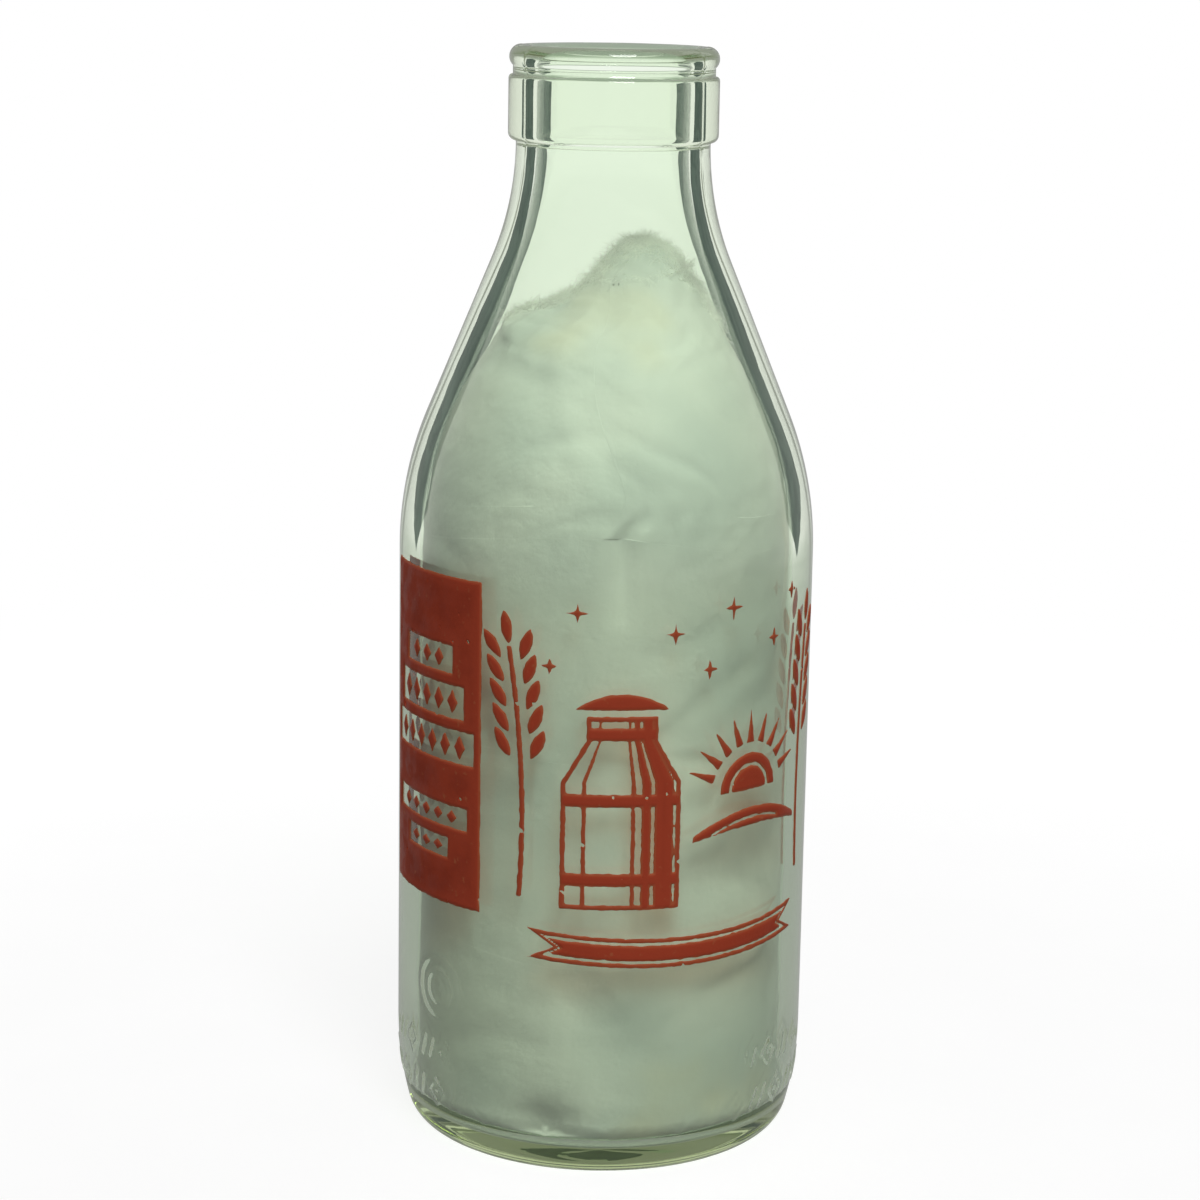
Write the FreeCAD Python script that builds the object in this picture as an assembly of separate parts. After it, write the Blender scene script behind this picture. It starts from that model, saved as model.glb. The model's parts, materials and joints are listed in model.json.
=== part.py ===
"""Glass milk bottle with fired enamel printing, filled with cotton-wool wadding.

Millimetres, +Z up, origin at the middle of the foot. The front of the bottle faces -Y.
"""
import FreeCAD, Part
import math
import os
from FreeCAD import Vector

# Driving dimensions of the glass
BOTTLE_HEIGHT = 208.3
BODY_RADIUS = 39.5
BODY_WALL = 3.8
BORE_RADIUS = 14.3
NECK_WALL = 3.75
FLOOR_THICKNESS = 4.5

# Foot and heel
PUSH_UP = 3.0
BEARING_WIDTH = 2.5
HEEL_ROUND = 6.0
HEEL_SWEEP = 61.0
HEEL_HEIGHT = 20.0
INNER_HEEL_ROUND = 4.5
FLOOR_CROWN = 2.0

# Shoulder and neck, with the slope in degrees from upright
SHOULDER_SWEEP = 69.3
SHOULDER_SLOPE = 22.4
NECK_SWEEP = 57.4
BORE_SWEEP = 57.0

# Finish: collar, groove and lip bead
COLLAR_STEP = 1.5
COLLAR_HEIGHT = 12.2
GROOVE_DEPTH = 0.8
LIP_ROUND = 2.2
LIP_INSET = 0.1
LIP_RISE = 5.4

# Wadding: three wads in the body, two at the shoulder and a tuft on top
WAD_CLEARANCE = 0.3
BODY_WADS = ("base_wad", "lower_wad", "middle_wad")
WAD_FALL = 5.0
WAD_ROUND = 3.0
SHOULDER_SEAM_RISE = 10.0
HEADSPACE = 27.65
CREST_FALL = 24.0
TUFT_RADIUS = 9.3
TUFT_HEIGHT = 25.0
TUFT_SINK = 15.0
TUFT_PASS = 0.4

# Fired enamel: angles in degrees, from the front round to the right
ENAMEL_THICKNESS = 0.25
ENAMEL_SEAT = 0.01
PRINT_DROP = 0.5

# Side panel, with the drop, height and width of each window left open in it
PANEL_ANGLE = -56.5
PANEL_WIDTH = 30.3
PANEL_HEIGHT = 62.5
PANEL_WINDOWS = (
    (13.0, 5.2, 16.0),
    (20.4, 6.2, 22.0),
    (28.8, 6.2, 27.0),
    (43.4, 4.2, 24.0),
    (49.8, 3.8, 14.0),
)
LOZENGE_PITCH = 4.0
LOZENGE_WIDTH = 2.8
WINDOW_MARGIN = 0.8

# Front picture: its spacing from the panel runs round the glass, middle to middle
# Places in it are measured from its middle, right and up
PRINT_SPACING = 55.0
PICTURE_HEIGHT = 70.0
HILL_ENDS = (1.5, 29.0)
HILL_CREST = -7.5
HILL_FALL = 4.0
HILL_BAND = 3.4
HILL_TIP = 1.0
SUN_CENTRE = (14.0, -4.0)
SUN_RADIUS = 7.0
SUN_RAYS = 9
SUN_RAY_TURN = 17.5
RAY_START = 9.0
RAY_LENGTH = 6.0
RAY_WIDTH = 1.8
CHURN_MIDDLE = -12.5
CHURN_FOOT = -24.5
CHURN_BODY_RADIUS = 11.0
CHURN_BODY_HEIGHT = 24.0
CHURN_SHOULDER_HEIGHT = 8.0
CHURN_NECK_RADIUS = 6.5
CHURN_NECK_HEIGHT = 4.5
CHURN_LID_RADIUS = 8.6
CHURN_LID_HEIGHT = 3.0
CHURN_HOOP = 1.2
CHURN_HOOP_RISE = 4.5
WHEAT_FOOT = (31.5, -23.0)
WHEAT_TIP = (34.0, 24.0)
WHEAT_BOW = 1.5
WHEAT_STEM_WIDTH = 1.0
GRAIN_PAIRS = 5
GRAIN_PITCH = 4.6
GRAIN_LENGTH = 6.2
GRAIN_WIDTH = 2.3
GRAIN_SPREAD = 28.0
GRAIN_GAP = 0.4
RIBBON_HALF_WIDTH = 27.0
RIBBON_MIDDLE = -31.5
RIBBON_HEIGHT = 5.6
RIBBON_SAG = 1.6
RIBBON_NOTCH = 4.0
SPARKS = ((-26, 21), (-21, 31), (-3, 27), (4, 20), (9, 31), (20, 24), (26, 32))
SPARK_POINTS = 4
SPARK_RADIUS = 2.0
SPARK_WAIST = 0.55

# Sizes that follow from the driving dimensions
UP = math.pi / 2
SLOPE = math.radians(SHOULDER_SLOPE)
NECK_RADIUS = BORE_RADIUS + NECK_WALL
COLLAR_RADIUS = NECK_RADIUS + COLLAR_STEP
GROOVE_RADIUS = COLLAR_RADIUS - GROOVE_DEPTH
LIP_CENTRE = COLLAR_RADIUS - LIP_INSET - LIP_ROUND
MOUTH_ROUND = LIP_CENTRE - BORE_RADIUS
COLLAR_TOP = BOTTLE_HEIGHT - LIP_RISE
COLLAR_BOTTOM = COLLAR_TOP - COLLAR_HEIGHT
SWEEPS = SHOULDER_SWEEP + NECK_SWEEP
CONE_LENGTH = (BODY_RADIUS - NECK_RADIUS - SWEEPS * (1 - math.cos(SLOPE))) / math.sin(SLOPE)
BODY_TOP = COLLAR_BOTTOM - SWEEPS * math.sin(SLOPE) - CONE_LENGTH * math.cos(SLOPE)
HEEL_TURN = math.asin((HEEL_HEIGHT - HEEL_ROUND) / (HEEL_SWEEP - HEEL_ROUND))
FOOT_RADIUS = BODY_RADIUS - HEEL_SWEEP + (HEEL_SWEEP - HEEL_ROUND) * math.cos(HEEL_TURN)
BEARING_INNER = FOOT_RADIUS - BEARING_WIDTH
FLOOR_TOP = PUSH_UP + FLOOR_THICKNESS
FLOOR_TROUGH = FLOOR_TOP - FLOOR_CROWN
SHOULDER_SEAM = BODY_TOP + SHOULDER_SEAM_RISE
SHOULDER_INNER = SHOULDER_SWEEP - BODY_WALL
CONE_FOOT = BODY_RADIUS - SHOULDER_SWEEP + SHOULDER_INNER * math.cos(SLOPE)
CONE_TOP = BORE_RADIUS + BORE_SWEEP * (1 - math.cos(SLOPE))
CONE_RISE = (CONE_FOOT - CONE_TOP) / math.tan(SLOPE)
BORE_BOTTOM = BODY_TOP + (SHOULDER_INNER + BORE_SWEEP) * math.sin(SLOPE) + CONE_RISE
CREST = BORE_BOTTOM - HEADSPACE
TUFT_OFFSET = BORE_RADIUS - TUFT_RADIUS - TUFT_PASS
TUFT_BOTTOM = CREST - TUFT_SINK
ENAMEL_INNER = BODY_RADIUS + ENAMEL_SEAT
ENAMEL_OUTER = ENAMEL_INNER + ENAMEL_THICKNESS
PRINT_TOP = BODY_TOP - PRINT_DROP
PICTURE_MIDDLE = PRINT_TOP - PICTURE_HEIGHT / 2
PICTURE_ANGLE = PANEL_ANGLE + math.degrees(PRINT_SPACING / BODY_RADIUS)

# An edge this near a seam's dome lies on it
SEAM_REACH = 1e-4

AXIS_FOOT = Vector(0, 0, 0)
AXIS = Vector(0, 0, 1)


def at(radius, height):
    """A point of a profile in the XZ plane."""
    return Vector(radius, 0, height)


def arc(centre, radius, start, end):
    """An arc in the XZ plane between two angles in radians."""
    angles = (start, (start + end) / 2, end)
    points = [centre + at(radius * math.cos(angle), radius * math.sin(angle)) for angle in angles]
    return Part.Arc(*points).toShape()


def closed_face(edges):
    """The face inside edges given in order, with a straight line wherever two don't meet."""
    outline = []
    for index, edge in enumerate(edges):
        outline.append(edge)
        end = edge.lastVertex().Point
        start = edges[(index + 1) % len(edges)].firstVertex().Point
        if end.distanceToPoint(start) > 1e-6:
            outline.append(Part.LineSegment(end, start).toShape())
    return Part.Face(Part.Wire(outline))


def drawn(points):
    """A flat face with straight sides."""
    return Part.Face(Part.makePolygon(points + points[:1]))


def turned(edges):
    """The solid that a closed profile sweeps round the bottle's axis."""
    return closed_face(edges).revolve(AXIS_FOOT, AXIS, 360)


def outer_profile():
    """The outside of the glass, from the middle of the foot up to the top of the lip."""
    push_up_radius = (BEARING_INNER ** 2 + PUSH_UP ** 2) / (2 * PUSH_UP)
    push_up_turn = math.asin(BEARING_INNER / push_up_radius)
    groove_turn = math.acos((GROOVE_RADIUS - LIP_CENTRE) / LIP_ROUND)
    return [
        arc(at(0, PUSH_UP - push_up_radius), push_up_radius, UP, UP - push_up_turn),
        arc(at(FOOT_RADIUS, HEEL_ROUND), HEEL_ROUND, -UP, -HEEL_TURN),
        arc(at(BODY_RADIUS - HEEL_SWEEP, HEEL_HEIGHT), HEEL_SWEEP, -HEEL_TURN, 0),
        arc(at(BODY_RADIUS - SHOULDER_SWEEP, BODY_TOP), SHOULDER_SWEEP, 0, SLOPE),
        arc(at(NECK_RADIUS + NECK_SWEEP, COLLAR_BOTTOM), NECK_SWEEP, math.pi + SLOPE, math.pi),
        arc(at(NECK_RADIUS, COLLAR_BOTTOM + COLLAR_STEP), COLLAR_STEP, -UP, 0),
        arc(at(GROOVE_RADIUS, COLLAR_TOP - GROOVE_DEPTH), GROOVE_DEPTH, 0, UP),
        arc(at(LIP_CENTRE, BOTTLE_HEIGHT - LIP_ROUND), LIP_ROUND, -groove_turn, UP),
    ]


def cavity_profile(inset):
    """The inside of the glass, moved inwards by an inset, from the bore down to the middle of the floor."""
    heel_centre = at(BODY_RADIUS - BODY_WALL - INNER_HEEL_ROUND, FLOOR_TROUGH + INNER_HEEL_ROUND)
    heel_drop = FLOOR_TOP - heel_centre.z
    floor_radius = (heel_centre.x ** 2 + heel_drop ** 2 - INNER_HEEL_ROUND ** 2) / (2 * FLOOR_CROWN)
    floor_turn = math.asin(heel_centre.x / (floor_radius + INNER_HEEL_ROUND))
    return [
        arc(at(BORE_RADIUS + BORE_SWEEP, BORE_BOTTOM), BORE_SWEEP + inset, math.pi, math.pi + SLOPE),
        arc(at(BODY_RADIUS - SHOULDER_SWEEP, BODY_TOP), SHOULDER_INNER - inset, SLOPE, 0),
        arc(heel_centre, INNER_HEEL_ROUND - inset, 0, -UP - floor_turn),
        arc(at(0, FLOOR_TOP - floor_radius), floor_radius + inset, UP - floor_turn, UP),
    ]


def glass_bottle():
    """The moulded glass: one closed profile of the outside, the rounded mouth and the cavity."""
    mouth = arc(at(LIP_CENTRE, BOTTLE_HEIGHT - MOUTH_ROUND), MOUTH_ROUND, UP, math.pi)
    return turned(outer_profile() + [mouth] + cavity_profile(0))


def wadding_space():
    """Half the section of the cavity below the bore, clear of the glass all round."""
    edges = cavity_profile(WAD_CLEARANCE)
    bore_end = edges[0].firstVertex().Point
    lid = Part.LineSegment(at(0, bore_end.z), bore_end).toShape()
    return closed_face([lid] + edges)


def dome(height, fall):
    """Centre, radius and half turn of a domed seam that falls by a given height at the body's outside."""
    radius = (BODY_RADIUS ** 2 + fall ** 2) / (2 * fall)
    return at(0, height - radius), radius, math.asin(BODY_RADIUS / radius)


def wad_between(space, bottom, top, top_fall):
    """One wad: the space between two domed seams, with its rims rounded."""
    low_centre, low_radius, low_turn = dome(bottom, WAD_FALL)
    high_centre, high_radius, high_turn = dome(top, top_fall)
    lower = arc(low_centre, low_radius, UP, UP - low_turn)
    upper = arc(high_centre, high_radius, UP - high_turn, UP)
    section = space.common(closed_face([lower, upper]))
    wad = section.Faces[0].revolve(AXIS_FOOT, AXIS, 360)
    rims = []
    for edge in wad.Edges:
        point = edge.firstVertex().Point
        off_low = abs(point.distanceToPoint(low_centre) - low_radius)
        off_high = abs(point.distanceToPoint(high_centre) - high_radius)
        if edge.isClosed() and min(off_low, off_high) < SEAM_REACH:
            rims.append(edge)
    return wad.makeFillet(WAD_ROUND, rims)


def capsule(radius, height, bottom):
    """An upright capsule on the tuft's own axis."""
    ball = arc(at(0, bottom + radius), radius, -UP, 0)
    crown = arc(at(0, bottom + height - radius), radius, 0, UP)
    shape = turned([ball, crown])
    shape.translate(Vector(TUFT_OFFSET, 0, 0))
    return shape


def wadding():
    """All the wads by name: a stack of domed wads, two halves at the shoulder and the tuft in its pocket."""
    space = wadding_space()
    step = (SHOULDER_SEAM - FLOOR_TOP) / len(BODY_WADS)
    wads = {}
    for index, name in enumerate(BODY_WADS):
        bottom = FLOOR_TOP + index * step if index else 0
        top = FLOOR_TOP + (index + 1) * step - WAD_CLEARANCE
        wads[name] = wad_between(space, bottom, top, WAD_FALL)
    shoulder = wad_between(space, SHOULDER_SEAM, CREST, CREST_FALL)
    pocket = capsule(TUFT_RADIUS + WAD_CLEARANCE, BOTTLE_HEIGHT, TUFT_BOTTOM - WAD_CLEARANCE)
    shoulder = shoulder.cut(pocket)
    half = Part.makeBox(BODY_RADIUS, 2 * BODY_RADIUS, BOTTLE_HEIGHT)
    left = half.translated(Vector(-BODY_RADIUS - WAD_CLEARANCE / 2, -BODY_RADIUS, 0))
    right = half.translated(Vector(WAD_CLEARANCE / 2, -BODY_RADIUS, 0))
    wads["left_shoulder_wad"] = shoulder.common(left).Solids[0]
    wads["right_shoulder_wad"] = shoulder.common(right).Solids[0]
    wads["top_tuft"] = capsule(TUFT_RADIUS, TUFT_HEIGHT, TUFT_BOTTOM)
    return wads


def enamel_sector(angle, width, bottom, top):
    """A curved rectangle of enamel, centred on an angle in degrees."""
    face = drawn([
        at(ENAMEL_INNER, bottom),
        at(ENAMEL_OUTER, bottom),
        at(ENAMEL_OUTER, top),
        at(ENAMEL_INNER, top),
    ])
    turn = math.degrees(width / BODY_RADIUS)
    face.rotate(AXIS_FOOT, AXIS, angle - 90 - turn / 2)
    return face.revolve(AXIS_FOOT, AXIS, turn)


def enamel_layer():
    """The thin tube that every flat motif is cut from."""
    height = BOTTLE_HEIGHT
    return Part.makeCylinder(ENAMEL_OUTER, height).cut(Part.makeCylinder(ENAMEL_INNER, height))


def facing(face, angle):
    """A flat face of the XZ plane, sent out through the glass at an angle in degrees."""
    prism = face.extrude(Vector(0, -2 * BODY_RADIUS, 0))
    prism.rotate(AXIS_FOOT, AXIS, angle)
    return prism


def fired(prisms):
    """The enamel fields that a set of prisms cuts from the enamel layer."""
    return enamel_layer().common(Part.makeCompound(prisms)).Solids


def window_rows():
    """Each panel window as its middle height, height and width."""
    return [(PRINT_TOP - drop - height / 2, height, width) for drop, height, width in PANEL_WINDOWS]


def side_panel():
    """The tall panel: a band over each window, a cheek each side of it, and the band at the foot."""
    blocks = []
    band_top = PRINT_TOP
    for middle, height, width in window_rows():
        head = middle + height / 2
        sill = middle - height / 2
        blocks.append(enamel_sector(PANEL_ANGLE, PANEL_WIDTH, head, band_top))
        cheek = (PANEL_WIDTH - width) / 2
        aside = math.degrees((width + cheek) / 2 / BODY_RADIUS)
        for way in (-1, 1):
            blocks.append(enamel_sector(PANEL_ANGLE + way * aside, cheek, sill, head))
        band_top = sill
    foot = enamel_sector(PANEL_ANGLE, PANEL_WIDTH, PRINT_TOP - PANEL_HEIGHT, band_top)
    return foot.fuse(blocks).Solids


def window_lozenges():
    """A row of upright lozenges in each window of the panel."""
    prisms = []
    for middle, height, width in window_rows():
        count = int((width - 2 * WINDOW_MARGIN) / LOZENGE_PITCH)
        rise = height / 2 - WINDOW_MARGIN
        reach = LOZENGE_WIDTH / 2
        lozenge = drawn([at(-reach, middle), at(0, middle - rise), at(reach, middle), at(0, middle + rise)])
        for index in range(count):
            place = (index - (count - 1) / 2) * LOZENGE_PITCH
            prisms.append(facing(lozenge, PANEL_ANGLE + math.degrees(place / BODY_RADIUS)))
    return fired(prisms)


def picture_angle(right):
    """The angle of a place in the picture, from its distance to the right of the middle."""
    return PICTURE_ANGLE + math.degrees(right / BODY_RADIUS)


def above(rise):
    """The height on the bottle of a place in the picture."""
    return PICTURE_MIDDLE + rise


def hill():
    """A long hill: the band between two shallow arcs that close in towards its ends."""
    reach = (HILL_ENDS[1] - HILL_ENDS[0]) / 2
    crest = above(HILL_CREST)
    high = crest - HILL_FALL
    low = high - HILL_TIP
    upper = Part.Arc(at(-reach, high), at(0, crest), at(reach, high)).toShape()
    lower = Part.Arc(at(reach, low), at(0, crest - HILL_BAND), at(-reach, low)).toShape()
    return fired([facing(closed_face([upper, lower]), picture_angle(sum(HILL_ENDS) / 2))])


def rising_sun():
    """A half disc with pointed rays round it."""
    right, rise = SUN_CENTRE
    centre = at(0, above(rise))
    faces = [closed_face([arc(centre, SUN_RADIUS, 0, math.pi)])]
    for index in range(SUN_RAYS):
        turn = UP + math.radians((index - (SUN_RAYS - 1) / 2) * SUN_RAY_TURN)
        out = at(math.cos(turn), math.sin(turn))
        side = at(-math.sin(turn), math.cos(turn)) * (RAY_WIDTH / 2)
        root = centre + out * RAY_START
        faces.append(drawn([root - side, root + out * RAY_LENGTH, root + side]))
    return fired([facing(face, picture_angle(right)) for face in faces])


def milk_churn():
    """A churn in silhouette, with open hoops across its body and below its lid."""
    foot = above(CHURN_FOOT)
    shoulder = foot + CHURN_BODY_HEIGHT
    neck = shoulder + CHURN_SHOULDER_HEIGHT
    lid = neck + CHURN_NECK_HEIGHT + CHURN_HOOP
    body_bands = (
        (foot, foot + CHURN_HOOP_RISE),
        (foot + CHURN_HOOP_RISE + CHURN_HOOP, shoulder - CHURN_HOOP_RISE),
    )
    faces = []
    for low, high in body_bands:
        reach = CHURN_BODY_RADIUS
        faces.append(drawn([at(-reach, low), at(reach, low), at(reach, high), at(-reach, high)]))
    low = shoulder - CHURN_HOOP_RISE + CHURN_HOOP
    wide = CHURN_BODY_RADIUS
    slim = CHURN_NECK_RADIUS
    right_side = [at(wide, low), at(wide, shoulder), at(slim, neck), at(slim, neck + CHURN_NECK_HEIGHT)]
    left_side = [at(-point.x, point.z) for point in reversed(right_side)]
    faces.append(drawn(right_side + left_side))
    crown = Part.Arc(at(CHURN_LID_RADIUS, lid), at(0, lid + CHURN_LID_HEIGHT), at(-CHURN_LID_RADIUS, lid))
    faces.append(closed_face([crown.toShape()]))
    return fired([facing(face, picture_angle(CHURN_MIDDLE)) for face in faces])


def leaf(foot, turn, length, width):
    """A pointed leaf between two arcs, from its foot along an angle in radians."""
    out = at(math.cos(turn), math.sin(turn))
    side = at(-out.z, out.x) * (width / 2)
    tip = foot + out * length
    middle = foot + out * (length / 2)
    edges = [Part.Arc(foot, middle - side, tip), Part.Arc(tip, middle + side, foot)]
    return closed_face([edge.toShape() for edge in edges])


def wheat_ear(hand):
    """A bowed stem with pairs of grains and one grain at its tip, on the right (1) or the left (-1)."""
    middle = (WHEAT_FOOT[0] + WHEAT_TIP[0]) / 2
    foot = at(hand * (WHEAT_FOOT[0] - middle), above(WHEAT_FOOT[1]))
    tip = at(hand * (WHEAT_TIP[0] - middle), above(WHEAT_TIP[1]))
    bow = (foot + tip) / 2 + at(-hand * WHEAT_BOW, 0)
    side = at(WHEAT_STEM_WIDTH / 2, 0)
    near = Part.Arc(foot - side, bow - side, tip - side).toShape()
    far = Part.Arc(tip + side, bow + side, foot + side).toShape()
    faces = [closed_face([near, far])]
    stem = Part.Arc(foot, bow, tip).toShape()
    seat = (WHEAT_STEM_WIDTH + GRAIN_WIDTH) / 2 + GRAIN_GAP
    for index in range(GRAIN_PAIRS):
        knot = stem.getParameterByLength(stem.Length - (index + 0.5) * GRAIN_PITCH)
        out = stem.tangentAt(knot)
        lean = math.atan2(out.z, out.x)
        for way in (-1, 1):
            grain_foot = stem.valueAt(knot) + at(way * seat, 0)
            turn = lean - way * math.radians(GRAIN_SPREAD)
            faces.append(leaf(grain_foot, turn, GRAIN_LENGTH, GRAIN_WIDTH))
    out = stem.tangentAt(stem.LastParameter)
    faces.append(leaf(tip + out * GRAIN_GAP, math.atan2(out.z, out.x), GRAIN_LENGTH, GRAIN_WIDTH))
    return fired([facing(face, picture_angle(hand * middle)) for face in faces])


def ribbon():
    """A sagging ribbon with a notch cut in each end."""
    reach = RIBBON_HALF_WIDTH
    high = above(RIBBON_MIDDLE + RIBBON_HEIGHT / 2)
    low = high - RIBBON_HEIGHT
    upper = Part.Arc(at(-reach, high), at(0, high - RIBBON_SAG), at(reach, high)).toShape()
    lower = Part.Arc(at(reach, low), at(0, low - RIBBON_SAG), at(-reach, low)).toShape()
    notches = []
    for hand in (1, -1):
        inner = at(hand * (reach - RIBBON_NOTCH), (high + low) / 2)
        notches.append([at(hand * reach, high), inner, at(hand * reach, low)])
    right_end = Part.makePolygon(notches[0]).Edges
    left_end = Part.makePolygon(list(reversed(notches[1]))).Edges
    face = Part.Face(Part.Wire([upper] + right_end + [lower] + left_end))
    return fired([facing(face, PICTURE_ANGLE)])


def sparks():
    """Small four-pointed sparks above the picture."""
    prisms = []
    for right, rise in SPARKS:
        points = []
        for index in range(2 * SPARK_POINTS):
            reach = SPARK_WAIST if index % 2 else SPARK_RADIUS
            turn = index * math.pi / SPARK_POINTS
            points.append(at(reach * math.cos(turn), above(rise) + reach * math.sin(turn)))
        prisms.append(facing(drawn(points), picture_angle(right)))
    return fired(prisms)


def enamel():
    """All the enamel fields by name."""
    return {
        "side_panel_enamel": side_panel(),
        "window_lozenge_enamel": window_lozenges(),
        "hill_enamel": hill(),
        "rising_sun_enamel": rising_sun(),
        "milk_churn_enamel": milk_churn(),
        "left_wheat_enamel": wheat_ear(-1),
        "right_wheat_enamel": wheat_ear(1),
        "ribbon_enamel": ribbon(),
        "spark_enamel": sparks(),
    }


def main():
    """Builds every node and writes it to its own file."""
    os.makedirs("parts", exist_ok=True)
    nodes = {"glass_bottle": glass_bottle()}
    nodes.update(wadding())
    for name, fields in enamel().items():
        nodes[name] = Part.makeCompound(fields)
    for name, shape in nodes.items():
        shape.exportStep(f"parts/{name}.step")
        print(name, "valid" if shape.isValid() else "not valid", len(shape.Solids), round(shape.Volume, 2))


main()
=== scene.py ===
"""Looks of a glass milk bottle packed with cotton wool, built round its CAD frame.

Laid out as an add-on: property groups hold the sizes and colours, one operator makes each group of
pieces, and a panel lists them. Everything is in metres in the frame's own axes: +Z up, front to -Y.
Angles run from the front round to the right, so angle a lies at (sin a, -cos a).
"""
import json
import math

import bpy
import numpy as np
from mathutils import Matrix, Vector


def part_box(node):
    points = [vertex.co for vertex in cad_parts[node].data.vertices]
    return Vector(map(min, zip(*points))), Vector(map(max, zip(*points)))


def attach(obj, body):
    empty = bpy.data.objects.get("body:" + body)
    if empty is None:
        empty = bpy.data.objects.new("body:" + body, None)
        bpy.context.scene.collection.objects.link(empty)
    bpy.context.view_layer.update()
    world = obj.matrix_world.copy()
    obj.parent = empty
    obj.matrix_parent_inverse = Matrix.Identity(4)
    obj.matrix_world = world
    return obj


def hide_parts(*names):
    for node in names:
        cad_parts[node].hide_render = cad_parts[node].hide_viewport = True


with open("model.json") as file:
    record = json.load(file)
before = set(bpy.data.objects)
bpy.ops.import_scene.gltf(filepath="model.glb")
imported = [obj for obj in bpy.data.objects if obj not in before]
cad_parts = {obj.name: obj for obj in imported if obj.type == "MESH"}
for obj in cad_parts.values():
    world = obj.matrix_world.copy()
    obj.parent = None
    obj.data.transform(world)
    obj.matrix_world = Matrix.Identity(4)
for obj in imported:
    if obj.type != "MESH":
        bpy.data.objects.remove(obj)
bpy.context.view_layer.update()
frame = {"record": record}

bl_info = {
    "name": "Cotton-filled milk bottle",
    "version": (1, 0, 0),
    "blender": (4, 5, 0),
    "location": "View3D > Sidebar > Bottle",
    "description": "Builds a glass milk bottle with fired enamel and cotton wadding round its frame",
    "category": "Add Mesh",
}

MM = 0.001
MOUNTS = {mount["name"]: mount for mount in frame["record"]["mounts"]}

# Sizes that the frame gives
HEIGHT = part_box("glass_bottle")[1].z
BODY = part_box("glass_bottle")[1].x
BORE = MOUNTS["mouth"]["dims"]["r_mm"] * MM
COLLAR = MOUNTS["collar"]["dims"]["r_mm"] * MM
PRINT_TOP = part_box("side_panel_enamel")[1].z
PRINT_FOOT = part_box("side_panel_enamel")[0].z

BODY_WADS = ("base_wad", "lower_wad", "middle_wad")
HANDS = {"left_shoulder_wad": -1, "right_shoulder_wad": 1}

# Marks on the glass: the two rows' heights, the upper row's flanks, the seal, and the mould's lines
LOWER_MARKS = 12 * MM
UPPER_MARKS = 20.5 * MM
FLANK_TURN = math.radians(62)
FLANK_HALF = math.radians(17)
MARK_WIDTH = 0.55 * MM
SEAL_TURN = math.radians(-50)
SEAL_HEIGHT = 33 * MM
SEAL_RADIUS = 6.2 * MM
SEAL_INNER_RADIUS = 3.6 * MM
SEAL_DOT = 1.8 * MM
PARTING_HEIGHT = 187.5 * MM
PARTING_WIDTH = 0.5 * MM
MOULD_LINE_WIDTH = 0.7 * MM
RIPPLE_FADE = (206 * MM, 186 * MM)

# Places on the cotton: the hollow at the foot, the crease at the front, the seam's swing, and the
# stretches over which the swing, the valley, the tousle, the fibres and the raised shelf come in
DENT_TURN = -0.28
DENT_HEIGHT = 9 * MM
CREASE_TURN = 0.09
CREASE_HEIGHT = 117 * MM
SWING_START = 108 * MM
SWING_PITCH = 60 * MM
SWING_RISE = (120 * MM, 130 * MM)
VALLEY_RISE = (122 * MM, 134 * MM)
TOUSLE_RISE = (146 * MM, 158 * MM)
FIBRE_RISE = (153 * MM, 157 * MM)
SHELF_REACH = (-8 * MM, -23 * MM)
CREST_FIBRES = 2200
TUFT_FIBRES = 3200

# The stage: where the lamps stand, how far the floor reaches, and its rings round the bottle; the foot ring
# holds a painted shadow of the bottle on the floor as the glass shows it
KEY_LAMP = (0.32, -1.38, 2.02)
FILL_LAMP = (0.6, 0.5, 0.7)
BACK_LAMP = (-0.5, 1.2, 0.45)
FLOOR_REACH = 12.0
UNDER_RING = (0.03, 0.08)
PAINTED_FOOT_SHADOW_RING = (0.04, 0.11)
SHADOW_RING = (0.12, 0.5)
ROOM_RING = (0.35, 0.8)


def length(name, text, millimetres):
    """A length property, written in millimetres and kept in metres."""
    return bpy.props.FloatProperty(
        name=name, description=text, default=millimetres * MM, subtype="DISTANCE", unit="LENGTH", precision=5)


def angle(name, text, degrees):
    """An angle property, written in degrees and kept in radians."""
    return bpy.props.FloatProperty(
        name=name, description=text, default=math.radians(degrees), subtype="ANGLE", unit="ROTATION")


def number(name, text, value):
    """A plain number property."""
    return bpy.props.FloatProperty(name=name, description=text, default=value, precision=4)


def colour(name, text, value):
    """A linear colour property."""
    return bpy.props.FloatVectorProperty(
        name=name, description=text, default=value, subtype="COLOR", size=3, min=0, max=1)


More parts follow.
